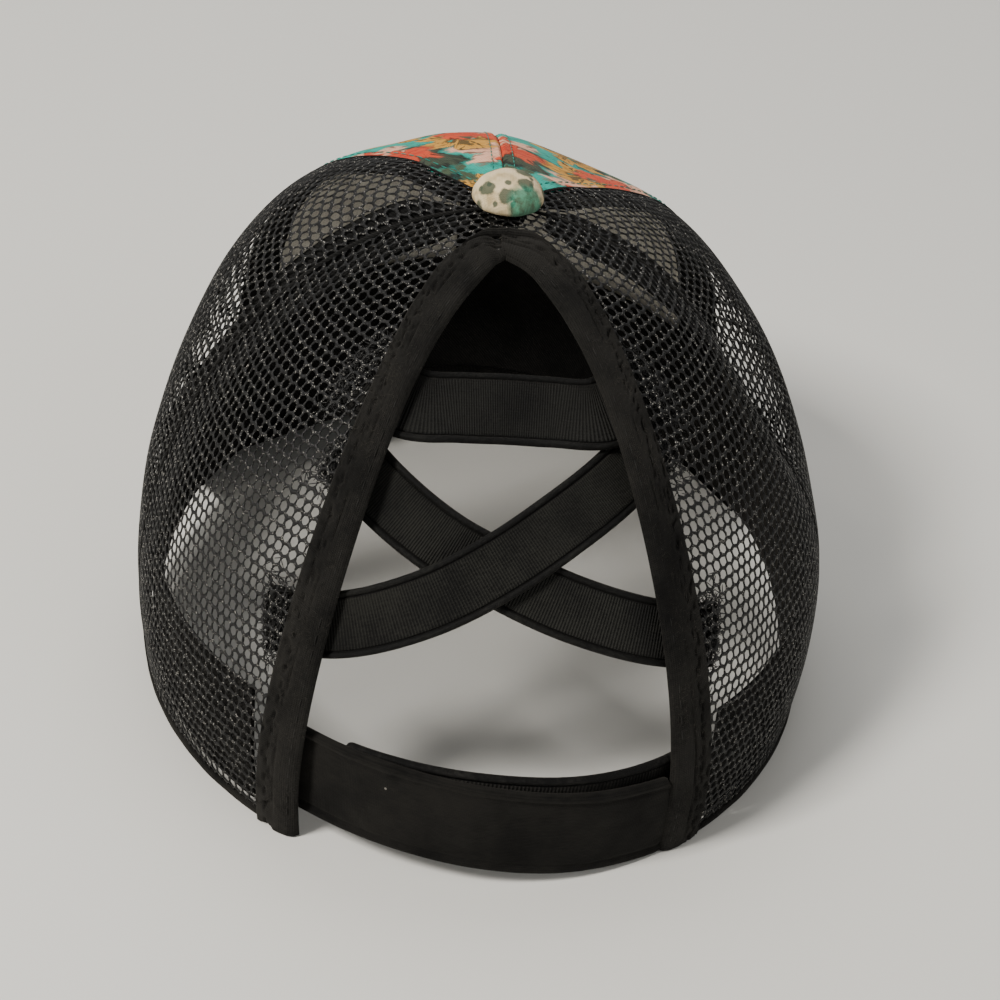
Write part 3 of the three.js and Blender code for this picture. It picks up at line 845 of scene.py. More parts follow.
@dataclass(frozen=True)
class ButtonPrint(Cloth):
    """The same cloth's cream part on the button, with dark spots and a teal patch at one side."""

    def ground(self, tree: Tree, cloth: Socket, threads: Socket) -> Socket:
        """Cream with spots; its UV map is the place in mm from the button's middle."""
        tint = noise(tree, cloth, 0.2, 3.0)
        cream = ramp(tree, tint, [(0.34, "#a8946f"), (0.5, "#cdbb96"), (0.68, "#d9c4a4")])
        wobble = noise(tree, cloth, 0.5, 3.0)
        spotted = cream
        for size, spacing, chance in ((2.3, 6.8, 0.8), (0.8, 3.1, 0.24)):
            cells = add(tree, "TexVoronoi", {"Vector": cloth, "Scale": 1 / spacing}, feature="F1",
                        voronoi_dimensions="2D")
            near = calc(tree, "MULTIPLY_ADD", wobble, 0.35, cells.outputs["Distance"])
            pick = add(tree, "SeparateColor", {0: cells.outputs["Color"]}).outputs[1]
            reach = size / spacing
            edge = fade(tree, near, reach + 0.12, reach + 0.22, 0.9)
            spotted = over(tree, calc(tree, "MULTIPLY", edge, calc(tree, "LESS_THAN", pick, chance)), spotted,
                           linear("#3f4a3c"))
        away = add(tree, "VectorMath", {0: cloth, 1: (-5.6, 9.4, 0.0)}, operation="DISTANCE").outputs["Value"]
        edge = calc(tree, "MULTIPLY_ADD", wobble, 3.4, away)
        side = fade(tree, edge, 6.6, 8.6, 1.0)
        deep = ramp(tree, wobble, [(0.35, "#22483a"), (0.6, "#3f8a70")])
        return over(tree, calc(tree, "MULTIPLY", side, 0.9), spotted, deep)


# The mesh is warp-knitted polyester: smooth filament yarn; its loop crests are painted a little lighter and
# small bright glints on each loop are painted in, as highlight.
NET = Filament("warp_knitted_polyester_mesh", "#030303", "#0a0a0a", Weave.KNIT, 0.42, 0.5, 0.0, 0.14, 0.0,
               0.02, 0.3)
# Brushed cotton reads matt, with a grey bloom where fibres stand up, and picks up lint.
COTTON = Cloth("brushed_cotton_binding", "#040404", "#1d1c1a", Weave.PLAIN, 0.45, 0.95, 0.1, 0.14, 0.3, 0.16,
               streak=(1.1, 0.8))
# The tab is the same black cotton in a plain weave, laid flat.
TAB = Cloth("plain_black_cotton", "#040404", "#181715", Weave.PLAIN, 0.42, 0.95, 0.08, 0.09, 0.36, 0.16,
            streak=(1.9, 0.35))
# Woven elastic: fine ribs across its length, 0.6 mm apart, between two rolled edges; where it is
# stretched over the crossing the ribs stand a little further apart.
ELASTIC = EdgedTape("woven_elastic_tape", "#050505", "#181816", Weave.RIB, 0.6, 0.75, 0.08, 0.3, 0.0, 0.02,
                    width=17.2)
CROSSING = EdgedTape("woven_elastic_tape_stretched", "#060606", "#1e1e1b", Weave.RIB, 0.64, 0.75, 0.08, 0.3,
                     0.0, 0.02, width=14.8)
# Hook-and-loop's woven ground, seen only as a ribbed edge.
WEBBING = EdgedTape("woven_closure_strap", "#060606", "#242321", Weave.RIB, 0.85, 0.8, 0.08, 0.3, 0.0, 0.05,
                    width=23.0)
TAPE = Cloth("cotton_seam_tape", "#070707", "#151514", Weave.TWILL, 1.0, 0.95, 0.1, 0.1, 0.0, 0.05)
BAND = Cloth("cotton_twill_sweatband", "#090909", "#1e1d1c", Weave.TWILL, 1.0, 0.95, 0.12, 0.1, 0.1, 0.2)
PEAK_CLOTH = Cloth("black_cotton_peak", "#0a0a0a", "#1b1a19", Weave.TWILL, 1.0, 0.95, 0.14, 0.1, 0.1, 0.04)
THREAD = Cloth("polyester_sewing_thread", "#0a0a0a", "#2a2927", Weave.TWILL, 0.25, 0.5, 0.1, 0.05)
# The bar tack lies in the fold between the legs: matt black thread, painted nearly black as painted shade of
# the fold.
TACK_WITH_FOLD_SHADE = Cloth("bar_tack_thread_painted_fold_shade", "#010101", "#040404", Weave.TWILL, 0.4, 0.95, 0.0, 0.05, gloss=0.05)
# Tonal sewing thread of the printed panels.
SEWING = Cloth("tonal_sewing_thread", "#1f6f64", "#2f9385", Weave.TWILL, 0.25, 0.5, 0.1, 0.05)
# Single cotton fibres stand out greyer than the dyed cloth.
FUZZ = Cloth("raised_cotton_fibre", "#1a1917", "#3a3834", Weave.TWILL, 0.5, 0.9, 0.2, 0.01)
# Loose yarns at the elastics' cut ends: the same filament as the mesh, with more painted glints.
YARN = Filament("loose_elastic_yarn", "#040404", "#121212", Weave.KNIT, 0.9, 0.5, 0.0, 0.05, 0.0, 0.02, 0.4)
# The front panels' reverse: pale fused stiffener, a plain matt weave.
REVERSE = Cloth("pale_fused_reverse", "#c9c4b8", "#e6e1d6", Weave.PLAIN, 0.9, 0.95, 0.1, 0.08)
PRINT = ScatterPrint("printed_cotton", "#2ba798", "#2ba798", Weave.PLAIN, 0.7, 0.9, 0.15, 0.07, 0.0, 0.08)
BUTTON = ButtonPrint("printed_cotton_button", "#d8c8a6", "#d8c8a6", Weave.PLAIN, 0.65, 0.88, 0.15, 0.07,
                     0.0, 0.06)


# The opening's edges from the rim to the apex: station, inner degrees and climb, then the outer ones.
OPENING = (
    (0.0, 29.9, 0.004, 37.4, 0.004), (0.1, 29.6, 0.08, 36.7, 0.085), (0.2, 28.9, 0.16, 35.8, 0.168),
    (0.3, 28.2, 0.24, 35.1, 0.25), (0.4, 27.6, 0.32, 34.7, 0.335), (0.5, 27.1, 0.4, 34.6, 0.418),
    (0.6, 26.7, 0.48, 34.9, 0.5), (0.7, 26.3, 0.56, 35.5, 0.585), (0.79, 25.5, 0.635, 36.6, 0.668),
    (0.87, 23.5, 0.71, 38.0, 0.752), (0.94, 18.5, 0.785, 37.5, 0.84), (0.98, 9.5, 0.846, 26.0, 0.893),
    (1.0, 0.0, 0.871, 0.0, 0.906),
)


def opening_at(at: Array, across: Array) -> tuple[Array, Array]:
    """Where a place on the binding lies on the crown.

    Args:
        at: its station, 0 at the rim to 1 at the apex.
        across: its share from the inner edge to the outer one.

    Returns:
        Its degrees and its climb share.
    """
    deg = eased(OPENING, 1, at) * (1 - across) + eased(OPENING, 3, at) * across
    climb = eased(OPENING, 2, at) * (1 - across) + eased(OPENING, 4, at) * across
    return deg, climb


# Sub-assemblies.
@dataclass
class NetPanels:
    """Four mesh panels: one cell of the net is modelled, arrayed flat, cut out and laid on the crown."""

    pitch: float = 2.3
    row: float = 2.62
    zigzag: float = 0.3
    hole: tuple[float, float] = (1.0, 1.17)
    yarn: float = 0.5
    depth: float = 0.45
    span: tuple[int, int] = (46, 36)
    middles: tuple[float, float] = (57.0, 108.0)
    tuck: float = 0.42
    top: float = 0.988
    uneven: float = 0.085

    def flat_net(self) -> Piece:
        """The flat net: an eight-sided ring for one cell, arrayed in offset rows."""
        w, h, q = self.pitch / 2, self.row / 2, self.zigzag
        rim = [(0, h + q), (w, h - q), (w, 0), (w, -h + q), (0, -h - q), (-w, -h + q), (-w, 0), (-w, h - q)]
        a, b = self.hole
        inner = [(0, b), (a * 0.82, b * 0.62), (a, 0), (a * 0.82, -b * 0.62),
                 (0, -b), (-a * 0.82, -b * 0.62), (-a, 0), (-a * 0.82, b * 0.62)]
        only_none()
        bpy.ops.mesh.primitive_circle_add(vertices=8, radius=1.0, fill_type="NGON")
        obj = bpy.context.object
        obj.name = "flat_net"
        in_edit(obj, lambda: bpy.ops.mesh.inset(thickness=0.3), lambda: bpy.ops.mesh.delete(type="ONLY_FACE"))
        points = coordinates(obj)
        order = np.round(np.degrees(np.arctan2(points[:, 0], points[:, 1])) / 45).astype(int) % 8
        outside = np.hypot(points[:, 0], points[:, 1]) > 0.9
        for i, vertex in enumerate(obj.data.vertices):
            x, y = (rim if outside[i] else inner)[order[i]]
            vertex.co = (x, y, 0.0)
        group = obj.vertex_groups.new(name="yarn")
        group.add([int(i) for i in np.flatnonzero(outside)], 1.0, "REPLACE")
        group.add([int(i) for i in np.flatnonzero(~outside)], 0.3, "REPLACE")
        merge = {"use_merge_vertices": False, "use_relative_offset": False, "use_constant_offset": True}
        apply(obj, "ARRAY", count=2, constant_offset_displace=(w, self.row, 0), **merge)
        apply(obj, "ARRAY", count=self.span[0], constant_offset_displace=(self.pitch, 0, 0), **merge)
        apply(obj, "ARRAY", count=self.span[1], constant_offset_displace=(0, 2 * self.row, 0), **merge)
        in_edit(obj, lambda: bpy.ops.mesh.remove_doubles(threshold=0.02))
        points = coordinates(obj)
        points[:, 0] -= self.pitch * self.span[0] / 2
        obj.data.vertices.foreach_set("co", points.ravel())
        return obj

    def lay(self, flat: Piece, name: str, middle: float, inner: Callable[[Array], Array],
            outer: float, sign: int, seed: int) -> Piece:
        """One panel: the net is laid up its middle line, cut at its seams and given its thickness.

        Args:
            flat: the flat net.
            name: the panel's name.
            middle: degrees of the panel's middle line.
            inner: degrees of the nearer edge at a climb.
            outer: degrees of the further seam.
            sign: 1 for the picture's left, -1 for its right.
            seed: seed of its unevenness.

        Returns:
            The finished panel.
        """
        only(flat)
        bpy.ops.object.duplicate()
        obj = bpy.context.object
        obj.name = obj.data.name = name
        flat_points = coordinates(obj)
        across, up = flat_points[:, 0], flat_points[:, 1]
        steps = np.linspace(0, 1, 500)
        mid = np.full_like(steps, math.radians(middle))
        line = CROWN.bare(mid, steps)
        lengths = np.r_[0, np.cumsum(np.linalg.norm(np.diff(line, axis=0), axis=1))]
        climb = np.interp(up, lengths, steps)
        radius = np.interp(up, lengths, np.hypot(line[:, 0], line[:, 1]))
        deg = middle + np.degrees(across / np.maximum(radius, 1.0))
        low, high = inner(climb), np.full_like(climb, outer)
        foot = CROWN.rim_climb(sign * np.clip(deg, low, high))
        outside = (deg < low) | (deg > high) | (climb < foot) | (up > lengths[-1] * self.top)
        uneven = np.random.default_rng(seed).normal(0.0, self.uneven, (2, len(across)))
        deg = np.clip(deg + np.degrees(uneven[0] / np.maximum(radius, 9.0)), low, high)
        climb = np.clip(np.maximum(climb + uneven[1] / 160, foot), 0.0, CROWN.top_climb)
        mesh = bmesh.new()
        mesh.from_mesh(obj.data)
        mesh.verts.ensure_lookup_table()
        lost = [f for f in mesh.faces if all(outside[v.index] for v in f.verts)]
        points = CROWN.at(sign * deg, climb, self.depth + 0.16 * ripple(across, up, seed, 26))
        for vertex, point in zip(mesh.verts, points):
            vertex.co = Vector(point * MM + HOME)
        layer = mesh.loops.layers.uv.new("cloth")
        for face in mesh.faces:
            for loop in face.loops:
                loop[layer].uv = (float(across[loop.vert.index]), float(up[loop.vert.index]))
        bmesh.ops.delete(mesh, geom=lost, context="FACES")
        bmesh.ops.delete(mesh, geom=[v for v in mesh.verts if not v.link_faces], context="VERTS")
        bmesh.ops.dissolve_degenerate(mesh, dist=2e-5, edges=mesh.edges)
        mesh.to_mesh(obj.data)
        mesh.free()
        in_edit(obj, lambda: bpy.ops.mesh.normals_make_consistent(inside=False))
        apply(obj, "SOLIDIFY", thickness=self.yarn * MM, offset=0.0, vertex_group="yarn",
              thickness_vertex_group=0.0, use_even_offset=False)
        return shade(obj, 80)

    def build(self) -> list[Piece]:
        """All four panels."""
        material = NET.material()
        flat = self.flat_net()
        stations = np.linspace(0, 1, 200)
        deg, climb = opening_at(stations, np.full(200, self.tuck))

        def opening_edge(at: Array) -> Array:
            """The opening's tucked edge, then the centre seam above it."""
            return np.where(at > climb[-1], 0.0, np.interp(at, climb, deg))

        made = []
        for sign, word in ((1, "left"), (-1, "right")):
            rear = self.lay(flat, f"rear_net_{word}", self.middles[0], opening_edge, CROWN.rear_seam, sign,
                            11 + sign)
            side = self.lay(flat, f"side_net_{word}", self.middles[1],
                            lambda at: np.full_like(at, CROWN.rear_seam), CROWN.front_seam, sign, 21 + sign)
            made.append(dress(rear, material, [f"rear_mesh_{word}"]))
            made.append(dress(side, material, [f"side_mesh_{word}"]))
        bpy.data.objects.remove(flat)
        return made


@dataclass
class FrontPanels:
    """Two printed front panels with a pale reverse, and their top stitching."""

    wall: float = WALL
    cells: tuple[int, int] = (90, 110)

    def build(self) -> list[Piece]:
        """Both panels, each one smooth sheet with two faces."""
        printed, reverse = PRINT.material(), REVERSE.material()
        made = []
        for word, low, high, seed in (("left", CROWN.front_seam, 180.0, 31),
                                      ("right", -180.0, -CROWN.front_seam, 32)):
            def place(u: Array, v: Array, low: float = low, high: float = high, seed: int = seed) -> Array:
                """Lies between its seams, from the arched rim to the button."""
                deg = low + 0.12 + (high - low - 0.24) * u
                foot = CROWN.rim_climb(deg)
                climb = foot + (CROWN.top_climb - foot) * v
                soft = 0.5 * ripple(u * 60, v * 150, seed, 34) * np.sin(np.pi * u) * np.sin(np.pi * v)
                seam = np.abs(u - (1 if low > 0 else 0)) * 60
                turned = 0.5 * np.exp(-((seam / 0.8) ** 2)) - 0.22 * np.exp(-(((seam - 2.2) / 1.3) ** 2))
                return CROWN.at(deg, climb, 0.12 + soft + turned)

            obj = measured(laid_grid(f"printed_front_{word}", self.cells, (62.0, 150.0), place), self.cells)
            cloth = np.empty(len(obj.data.loops) * 2, np.float32)
            obj.data.uv_layers.active.data.foreach_get("uv", cloth)
            in_edit(obj, lambda: bpy.ops.mesh.normals_make_consistent(inside=False))
            obj.data.materials.append(printed)
            obj.data.materials.append(reverse)
            shade(thickened(obj, self.wall - 0.2, material_offset=1, material_offset_rim=0))
            made.append(dress(obj, printed, [f"front_panel_{word}"]))
            sign = 1 if low > 0 else -1
            rows = []
            for seam, side in ((180.0, -1), (CROWN.front_seam, 1)):
                climb = np.linspace(0.2, 0.955, 240)
                climb = np.maximum(climb, CROWN.rim_climb(np.full(240, sign * seam)) + 0.01)
                reach = CROWN.radius(seam, climb)
                deg = sign * (seam + side * np.degrees(3.1 / np.maximum(reach, 12.0)))
                rows.append(sewn_row(deg, climb, -0.02, 2.9, 2.2))
            made.append(dress(joined(f"front_stitches_{word}", rows), SEWING.material()))
        return made


@dataclass
class CoveredButton:
    """The covered button: a spun dome with a soft lip, its shank and inner washer."""

    radius: float = 8.35
    rise: float = 8.2

    def build(self) -> Piece:
        """A profile spun round the crown's axis."""
        top = CROWN.height
        r, h = self.radius, self.rise
        profile = [(0.0, h), (r * 0.18, h * 0.99), (r * 0.38, h * 0.95), (r * 0.56, h * 0.885),
                   (r * 0.72, h * 0.79), (r * 0.85, h * 0.67), (r * 0.95, h * 0.52), (r * 1.01, h * 0.37),
                   (r * 1.0, h * 0.23), (r * 0.95, h * 0.13), (r * 0.84, h * 0.055), (r * 0.66, 0.2),
                   (1.5, 0.3), (1.5, -2.8),
                   (4.3, -2.86), (4.4, -3.3), (4.1, -3.8), (0.0, -WASHER)]
        only_none()
        bpy.ops.mesh.primitive_plane_add(size=1.0)
        obj = bpy.context.object
        obj.name = obj.data.name = "covered_button"
        mesh = bmesh.new()
        line = [mesh.verts.new(Vector(np.array([x, 0.0, z + top]) * MM + HOME)) for x, z in profile]
        for a, b in zip(line, line[1:]):
            mesh.edges.new((a, b))
        mesh.to_mesh(obj.data)
        mesh.free()
        in_edit(obj, lambda: bpy.ops.mesh.spin(steps=56, angle=math.tau, center=tuple(HOME), axis=(0, 0, 1)),
                lambda: bpy.ops.mesh.select_all(action="SELECT"),
                lambda: bpy.ops.mesh.remove_doubles(threshold=2e-5),
                lambda: bpy.ops.mesh.normals_make_consistent(inside=False))
        points = (coordinates(obj) - HOME) / MM
        angle = np.arctan2(points[:, 1], points[:, 0])
        reach = np.hypot(points[:, 0], points[:, 1]) / r
        lip = np.exp(-((points[:, 2] - top - 1.6) / 1.5) ** 2) * (reach > 0.7)
        tuck = 1 + 0.014 * lip * (np.sin(angle * 11) + np.sin(angle * 7 + 2))
        points[:, 0] *= tuck
        points[:, 1] *= tuck
        points[:, 2] += 0.1 * (points[:, 2] > top + 0.5) * ripple(points[:, 0], points[:, 1], 41, 7)
        set_coordinates(obj, points)
        apply(obj, "SUBSURF", levels=1, render_levels=1)
        layer = obj.data.uv_layers.new(name="cloth") if not obj.data.uv_layers else obj.data.uv_layers[0]
        layer.name = "cloth"
        spots = (coordinates(obj) - HOME) / MM
        # the cloth is laid over the button, so its map grows with the way down the side
        away = np.maximum(np.hypot(spots[:, 0], spots[:, 1]), 0.01)
        spots[:, :2] *= (1 + 0.7 * np.maximum(top + h - spots[:, 2] - 1.0, 0) / away)[:, None]
        draw_map(obj, layer, spots[:, :2])
        # the printed cloth ends under the lip: the shank and the washer inside the crown are black
        obj.data.materials.append(BUTTON.material())
        obj.data.materials.append(TAPE.material())
        for face in obj.data.polygons:
            face.material_index = int((face.center.z - HOME[2]) / MM < top + 0.1)
        return dress(shade(obj, 60), obj.data.materials[0], ["button"])


@dataclass
class Binding:
    """Folded cotton binding on both legs of the opening, with its stitch lines."""

    stations: int = 330
    leg: float = 168.0
    beat: float = 3.9
    lap: float = 2.2
    width: float = 26.0
    sewn: float = 0.72
    wander: float = 0.025
    wave: float = 9.0
    fibres: int = 1500

    @staticmethod
    def station(v: Array) -> Array:
        """Station on the opening for a share of the grid, which is finer near the apex."""
        return np.where(v < 0.6, v / 0.6 * 0.7, 0.7 + 0.3 * (v - 0.6) / 0.4)

    def section(self, share: Array) -> tuple[Array, Array]:
        """Across share and inset of a place round the folded section, from the outer leaf's edge."""
        rows = ((0.0, 1.0, -0.25), (0.04, 1.0, -0.95), (0.09, 0.94, -1.2), (0.24, 0.66, -1.28),
                (0.38, 0.4, -1.28), (0.45, 0.2, -1.05), (0.5, 0.07, -0.5), (0.53, 0.02, 0.25),
                (0.56, 0.0, 0.6), (0.6, 0.06, 1.35),
                (0.66, 0.18, 2.05), (0.72, 0.4, 2.4), (0.82, 0.62, 2.45), (0.9, 0.88, 2.4), (0.94, 0.94, 2.2),
                (0.97, 0.93, 1.5), (1.0, 1.0, -0.25))
        table = np.array(rows)
        return np.interp(share, table[:, 0], table[:, 1]), np.interp(share, table[:, 0], table[:, 2])

    def build(self) -> list[Piece]:
        """Both legs; the right one laps over the left at the apex."""
        material, thread = COTTON.material(), THREAD.material()
        made = []
        for sign, word, seed in ((1, "left", 51), (-1, "right", 52)):
            def place(u: Array, v: Array, sign: int = sign, seed: int = seed) -> Array:
                """The folded strip, a little uneven, with a shallow groove at each sewn line."""
                across, inset = self.section(u)
                at = self.station(v)
                deg, climb = opening_at(at, across)
                along = v * self.leg
                outer = (inset < 0) * smooth((across - 0.02) / 0.1) * smooth((1 - across) / 0.06)
                beat = smooth(np.sin(along * math.tau / self.beat) * 0.8 + 0.5)
                aside = across - self.sewn - self.wander * np.sin(along / self.wave)
                sunk = 0.62 * np.exp(-(aside / 0.034) ** 2) * beat
                second = np.exp(-((across - 0.5 - 0.05 * np.sin(along / 23 + seed)) / 0.03) ** 2)
                sunk += 0.5 * second * smooth(ripple(along, across * 0, seed + 9, 17) + 0.4)
                loose = smooth((across - 0.5) / 0.15)
                pits = smooth((ripple(across * 11, along * 0.7, seed + 3, 2.3) - 0.25) / 0.5)
                pucker = 0.24 * ripple(across * 16, along, seed + 5, 5.0) + 0.55 * pits
                inset = inset + outer * (sunk + pucker * loose + 0.34 * ripple(across * 10, along, seed, 15))
                reach = np.maximum(6.0, CROWN.radius(deg, climb))
                extra = 0.15 + (0 if sign > 0 else -self.lap * smooth((at - 0.965) / 0.035))
                lift = 0 if sign > 0 else 0.5 * smooth((at - 0.955) / 0.03) * (inset < 0)
                near = np.radians(np.abs(deg)) * reach
                # the fold beside the apex: distance from the middle, half width, share of the depth
                fold, wide, deep = (2.7, 1.9, 1.0) if sign > 0 else (0.2, 0.8, 0.3)
                lift -= 1.35 * np.exp(-((near - fold) / wide) ** 2) * (inset < -0.2) * (at > 0.9) * deep
                return CROWN.at(sign * (deg + np.degrees(extra / reach)), climb, inset - lift)

            obj = rolled(f"binding_{word}", (76, self.stations), (self.width, self.leg), place)
            dress(shade(obj, 60), material, [f"opening_binding_{word}"])
            made.append(obj)
            rows = []
            # a row per sewn line: its share across, how far it wanders and its depth
            for across, wander, depth in ((self.sewn, self.wander, -0.85), (0.2, 0.0, -0.98)):
                v = np.linspace(0.01, 0.955, 260)
                deg, climb = opening_at(self.station(v), across + wander * np.sin(v * self.leg / self.wave))
                rows.append(sewn_row(sign * deg, climb, depth, self.beat, 2.4))
            made.append(dress(joined(f"binding_stitches_{word}", rows), thread))
            made.append(self.fuzz(sign, word, seed))
        made.append(self.apex_roll(material))
        # the tack's near-black finish is black thread darkened further as painted shade of the fold between
        # the legs
        made.append(dress(self.apex_tack(), TACK_WITH_FOLD_SHADE.material()))
        return made

    def fuzz(self, sign: int, word: str, seed: int) -> Piece:
        """Raised fibres of the brushed cotton on one leg."""
        turn = np.random.default_rng(seed)
        n = self.fibres
        at, across = turn.uniform(0.01, 0.97, n), 1 - turn.power(1.6, n)[::-1] * 0.97
        deg, climb = opening_at(at, across)
        depth = -1.25 * smooth((across - 0.02) / 0.3) + turn.uniform(-0.25, 0.2, n)
        middles = CROWN.at(sign * deg, climb, depth)
        out = CROWN.normal(np.radians(sign * deg), climb)
        obj = strewn(f"binding_fuzz_{word}", middles, turn.normal(0, 1, (n, 3)) + out * 0.35, out, 1.5, 0.07)
        return dress(obj, FUZZ.material())

    def apex_tack(self) -> Piece:
        """Bar tack at the point of the opening: short threads across it, one above the other."""
        turn = np.random.default_rng(81)
        climb = np.linspace(0.876, 0.9, 9)
        deg = turn.normal(-1.2, 1.0, 9)
        middles = CROWN.at(deg, climb, turn.uniform(-0.7, -0.2, 9))
        out = CROWN.normal(np.radians(deg), climb)
        across = np.tile([1.0, 0.0, 0.0], (9, 1)) + turn.normal(0, 0.3, (9, 3))
        return strewn("apex_tack", middles, across, out, 3.6, 0.55)

    def apex_roll(self, material: bpy.types.Material) -> Piece:
        """The small raised arc where the panels are gathered in above the binding."""
        def place(u: Array, v: Array) -> Array:
            """A thin roll that follows the binding's outer edge over the apex."""
            turn = u * math.tau
            t = v * 2 - 1
            at = 1 - 0.055 * np.abs(t)
            deg, climb = opening_at(at, np.full_like(at, 1.0))
            slim = 0.35 + 0.65 * np.sqrt(np.maximum(0, 1 - t * t))
            climb = climb + 0.015 + 0.0085 * np.sin(turn) * slim
            return CROWN.at(np.sign(t) * deg, np.minimum(climb, 0.972), -0.25 - 1.0 * np.cos(turn) * slim)

        obj = rolled("apex_roll", (12, 48), (5.0, 40.0), place)
        return dress(shade(obj, 60), material)


@dataclass
class Band:
    """A strap across the opening: its width, its path and how its section is woven or sewn."""

    name: str
    node: str
    slot: str
    width: float
    thick: float
    path: tuple[tuple[float, float, float], ...]
    finish: Cloth
    rolled_edges: bool = True
    rounded_end: float = 0.0
    slant: float = 0.0
    cells: tuple[int, int] = (64, 130)
    layer: float = 1.43

    def frame_at(self, t: Array) -> tuple[Array, Array, Array]:
        """Middle, side and outward direction at shares of the strap's length."""
        seated = WALL + LEAF + SEAT + GAP + self.width**2 / (8 * CROWN.half_width) + self.thick / 2
        first, last = self.path[0][0], self.path[-1][0]

        def middle(share: Array) -> Array:
            """A point of the strap's middle line."""
            deg = first + (last - first) * np.clip(share, 0, 1)
            return CROWN.at(deg, eased(self.path, 1, deg), seated + eased(self.path, 2, deg) * self.layer)

        deg = first + (last - first) * t
        along = middle(t + 0.01) - middle(t - 0.01)
        along /= np.linalg.norm(along, axis=-1, keepdims=True)
        out = CROWN.normal(np.radians(deg), eased(self.path, 1, deg))
        side = np.cross(out, along)
        side /= np.linalg.norm(side, axis=-1, keepdims=True)
        return middle(t), side, np.cross(along, side)

    def length(self) -> float:
        """Length along the strap's middle."""
        points = self.frame_at(np.linspace(0, 1, 100))[0]
        return float(np.linalg.norm(np.diff(points, axis=0), axis=1).sum())

    def relief(self, across: Array, along: Array) -> Array:
        """How far the face stands out of the flat section at a place -1 to 1 across."""
        edge = (1 - np.abs(across)) * self.width / 2
        if self.rolled_edges:
            roll = 0.26 * np.sqrt(np.maximum(0, 1 - ((edge - 0.7) / 0.7) ** 2))
            groove = -0.4 * np.exp(-((edge - 1.6) / 0.24) ** 2)
            return roll + groove + 0.06 * ripple(edge, along, 61, 18)
        hem = 0.34 * np.exp(-((edge - 0.9) / 0.8) ** 2) - 0.26 * np.exp(-((edge - 2.5) / 0.5) ** 2)
        soft = 0.3 * ripple(edge, along * 0.6, 62, 19) + 0.1 * ripple(edge, along, 63, 6)
        return hem + soft * smooth(edge / 3)

    def build(self) -> list[Piece]:
        """The strap as a closed sweep, its section rounded at both edges."""
        length = self.length()

        def place(u: Array, v: Array) -> Array:
            """Goes round the section: the face outwards, an edge, the back, the other edge."""
            top = u < 0.5
            share = np.where(top, u * 2, (u - 0.5) * 2)
            across = np.where(top, 1 - 2 * share, 2 * share - 1)
            left = (1 - v) * length
            corner = np.maximum(0, self.rounded_end - left)
            trim = self.rounded_end - np.sqrt(np.maximum(0, self.rounded_end**2 - corner**2))
            half = self.width / 2 - trim * 0.8
            edge = (1 - np.abs(across)) * half
            taper = np.sqrt(np.clip(1 - (1 - np.minimum(edge, self.thick / 2) / (self.thick / 2)) ** 2, 0, 1))
            lift = self.thick / 2 * taper + self.relief(across, v * length) * smooth(edge / 0.4)
            middle, side, out = self.frame_at(v)
            ahead = np.cross(side, out) * (smooth((v - 0.9) / 0.1) * (1 - across) / 2 * self.slant)[:, None]
            raised = out * np.where(top, lift, -lift)[:, None]
            return middle + ahead + side * (across * half)[:, None] + raised

        obj = rolled(self.name, (self.cells[0] * 2, self.cells[1]), (self.width * 2, length), place)
        shade(obj, 70)
        dress(obj, self.finish.material(), [self.node])
        return [obj]


def straps() -> list[Band]:
    """The three elastics and the two parts of the closure, a row per bend: degrees, climb, layers deep."""
    return [
        Band("top_elastic", "elastic_top", "woven_elastic", 17.2, 1.4, (
            (46, 0.605, 0), (26, 0.605, 0), (13, 0.628, 2.1), (0, 0.637, 2.8), (-13, 0.628, 2.1),
            (-26, 0.605, 0), (-46, 0.605, 0)), ELASTIC),
        Band("front_cross_elastic", "elastic_cross_front", "woven_elastic", 14.8, 1.4, (
            (40.5, 0.262, 0), (27.7, 0.3, 0), (14, 0.358, 0.5), (0, 0.422, 0.8), (-12, 0.47, 1.1),
            (-23.5, 0.504, 1.4), (-39, 0.542, 1.5)), CROSSING),
        Band("back_cross_elastic", "elastic_cross_back", "woven_elastic", 14.8, 1.4, (
            (39, 0.51, 1.5), (24.5, 0.474, 1.7), (12, 0.441, 2.6), (0, 0.41, 2.8), (-14, 0.361, 1.7),
            (-28.4, 0.307, 0), (-40, 0.267, 0)), CROSSING),
        Band("closure_outer_tab", "closure_tab", "closure_cotton", 23.6, 1.8, (
            (37.5, 0.086, 0), (28, 0.085, 0), (14, 0.085, -0.9), (0, 0.079, -1.9), (-14, 0.065, -2.1),
            (-28.9, 0.054, -2.1)), TAB, rolled_edges=False, rounded_end=1.5, slant=3.4, cells=(60, 170)),
        Band("closure_inner_strap", "closure_strap", "closure_webbing", 23.0, 1.5, (
            (-37.5, 0.073, 0), (-28, 0.071, 0), (-14, 0.0795, -0.3), (0, 0.089, -0.15), (14, 0.0878, 0.85),
            (24, 0.0845, 1.5)), WEBBING, rounded_end=2, cells=(70, 130)),
    ]


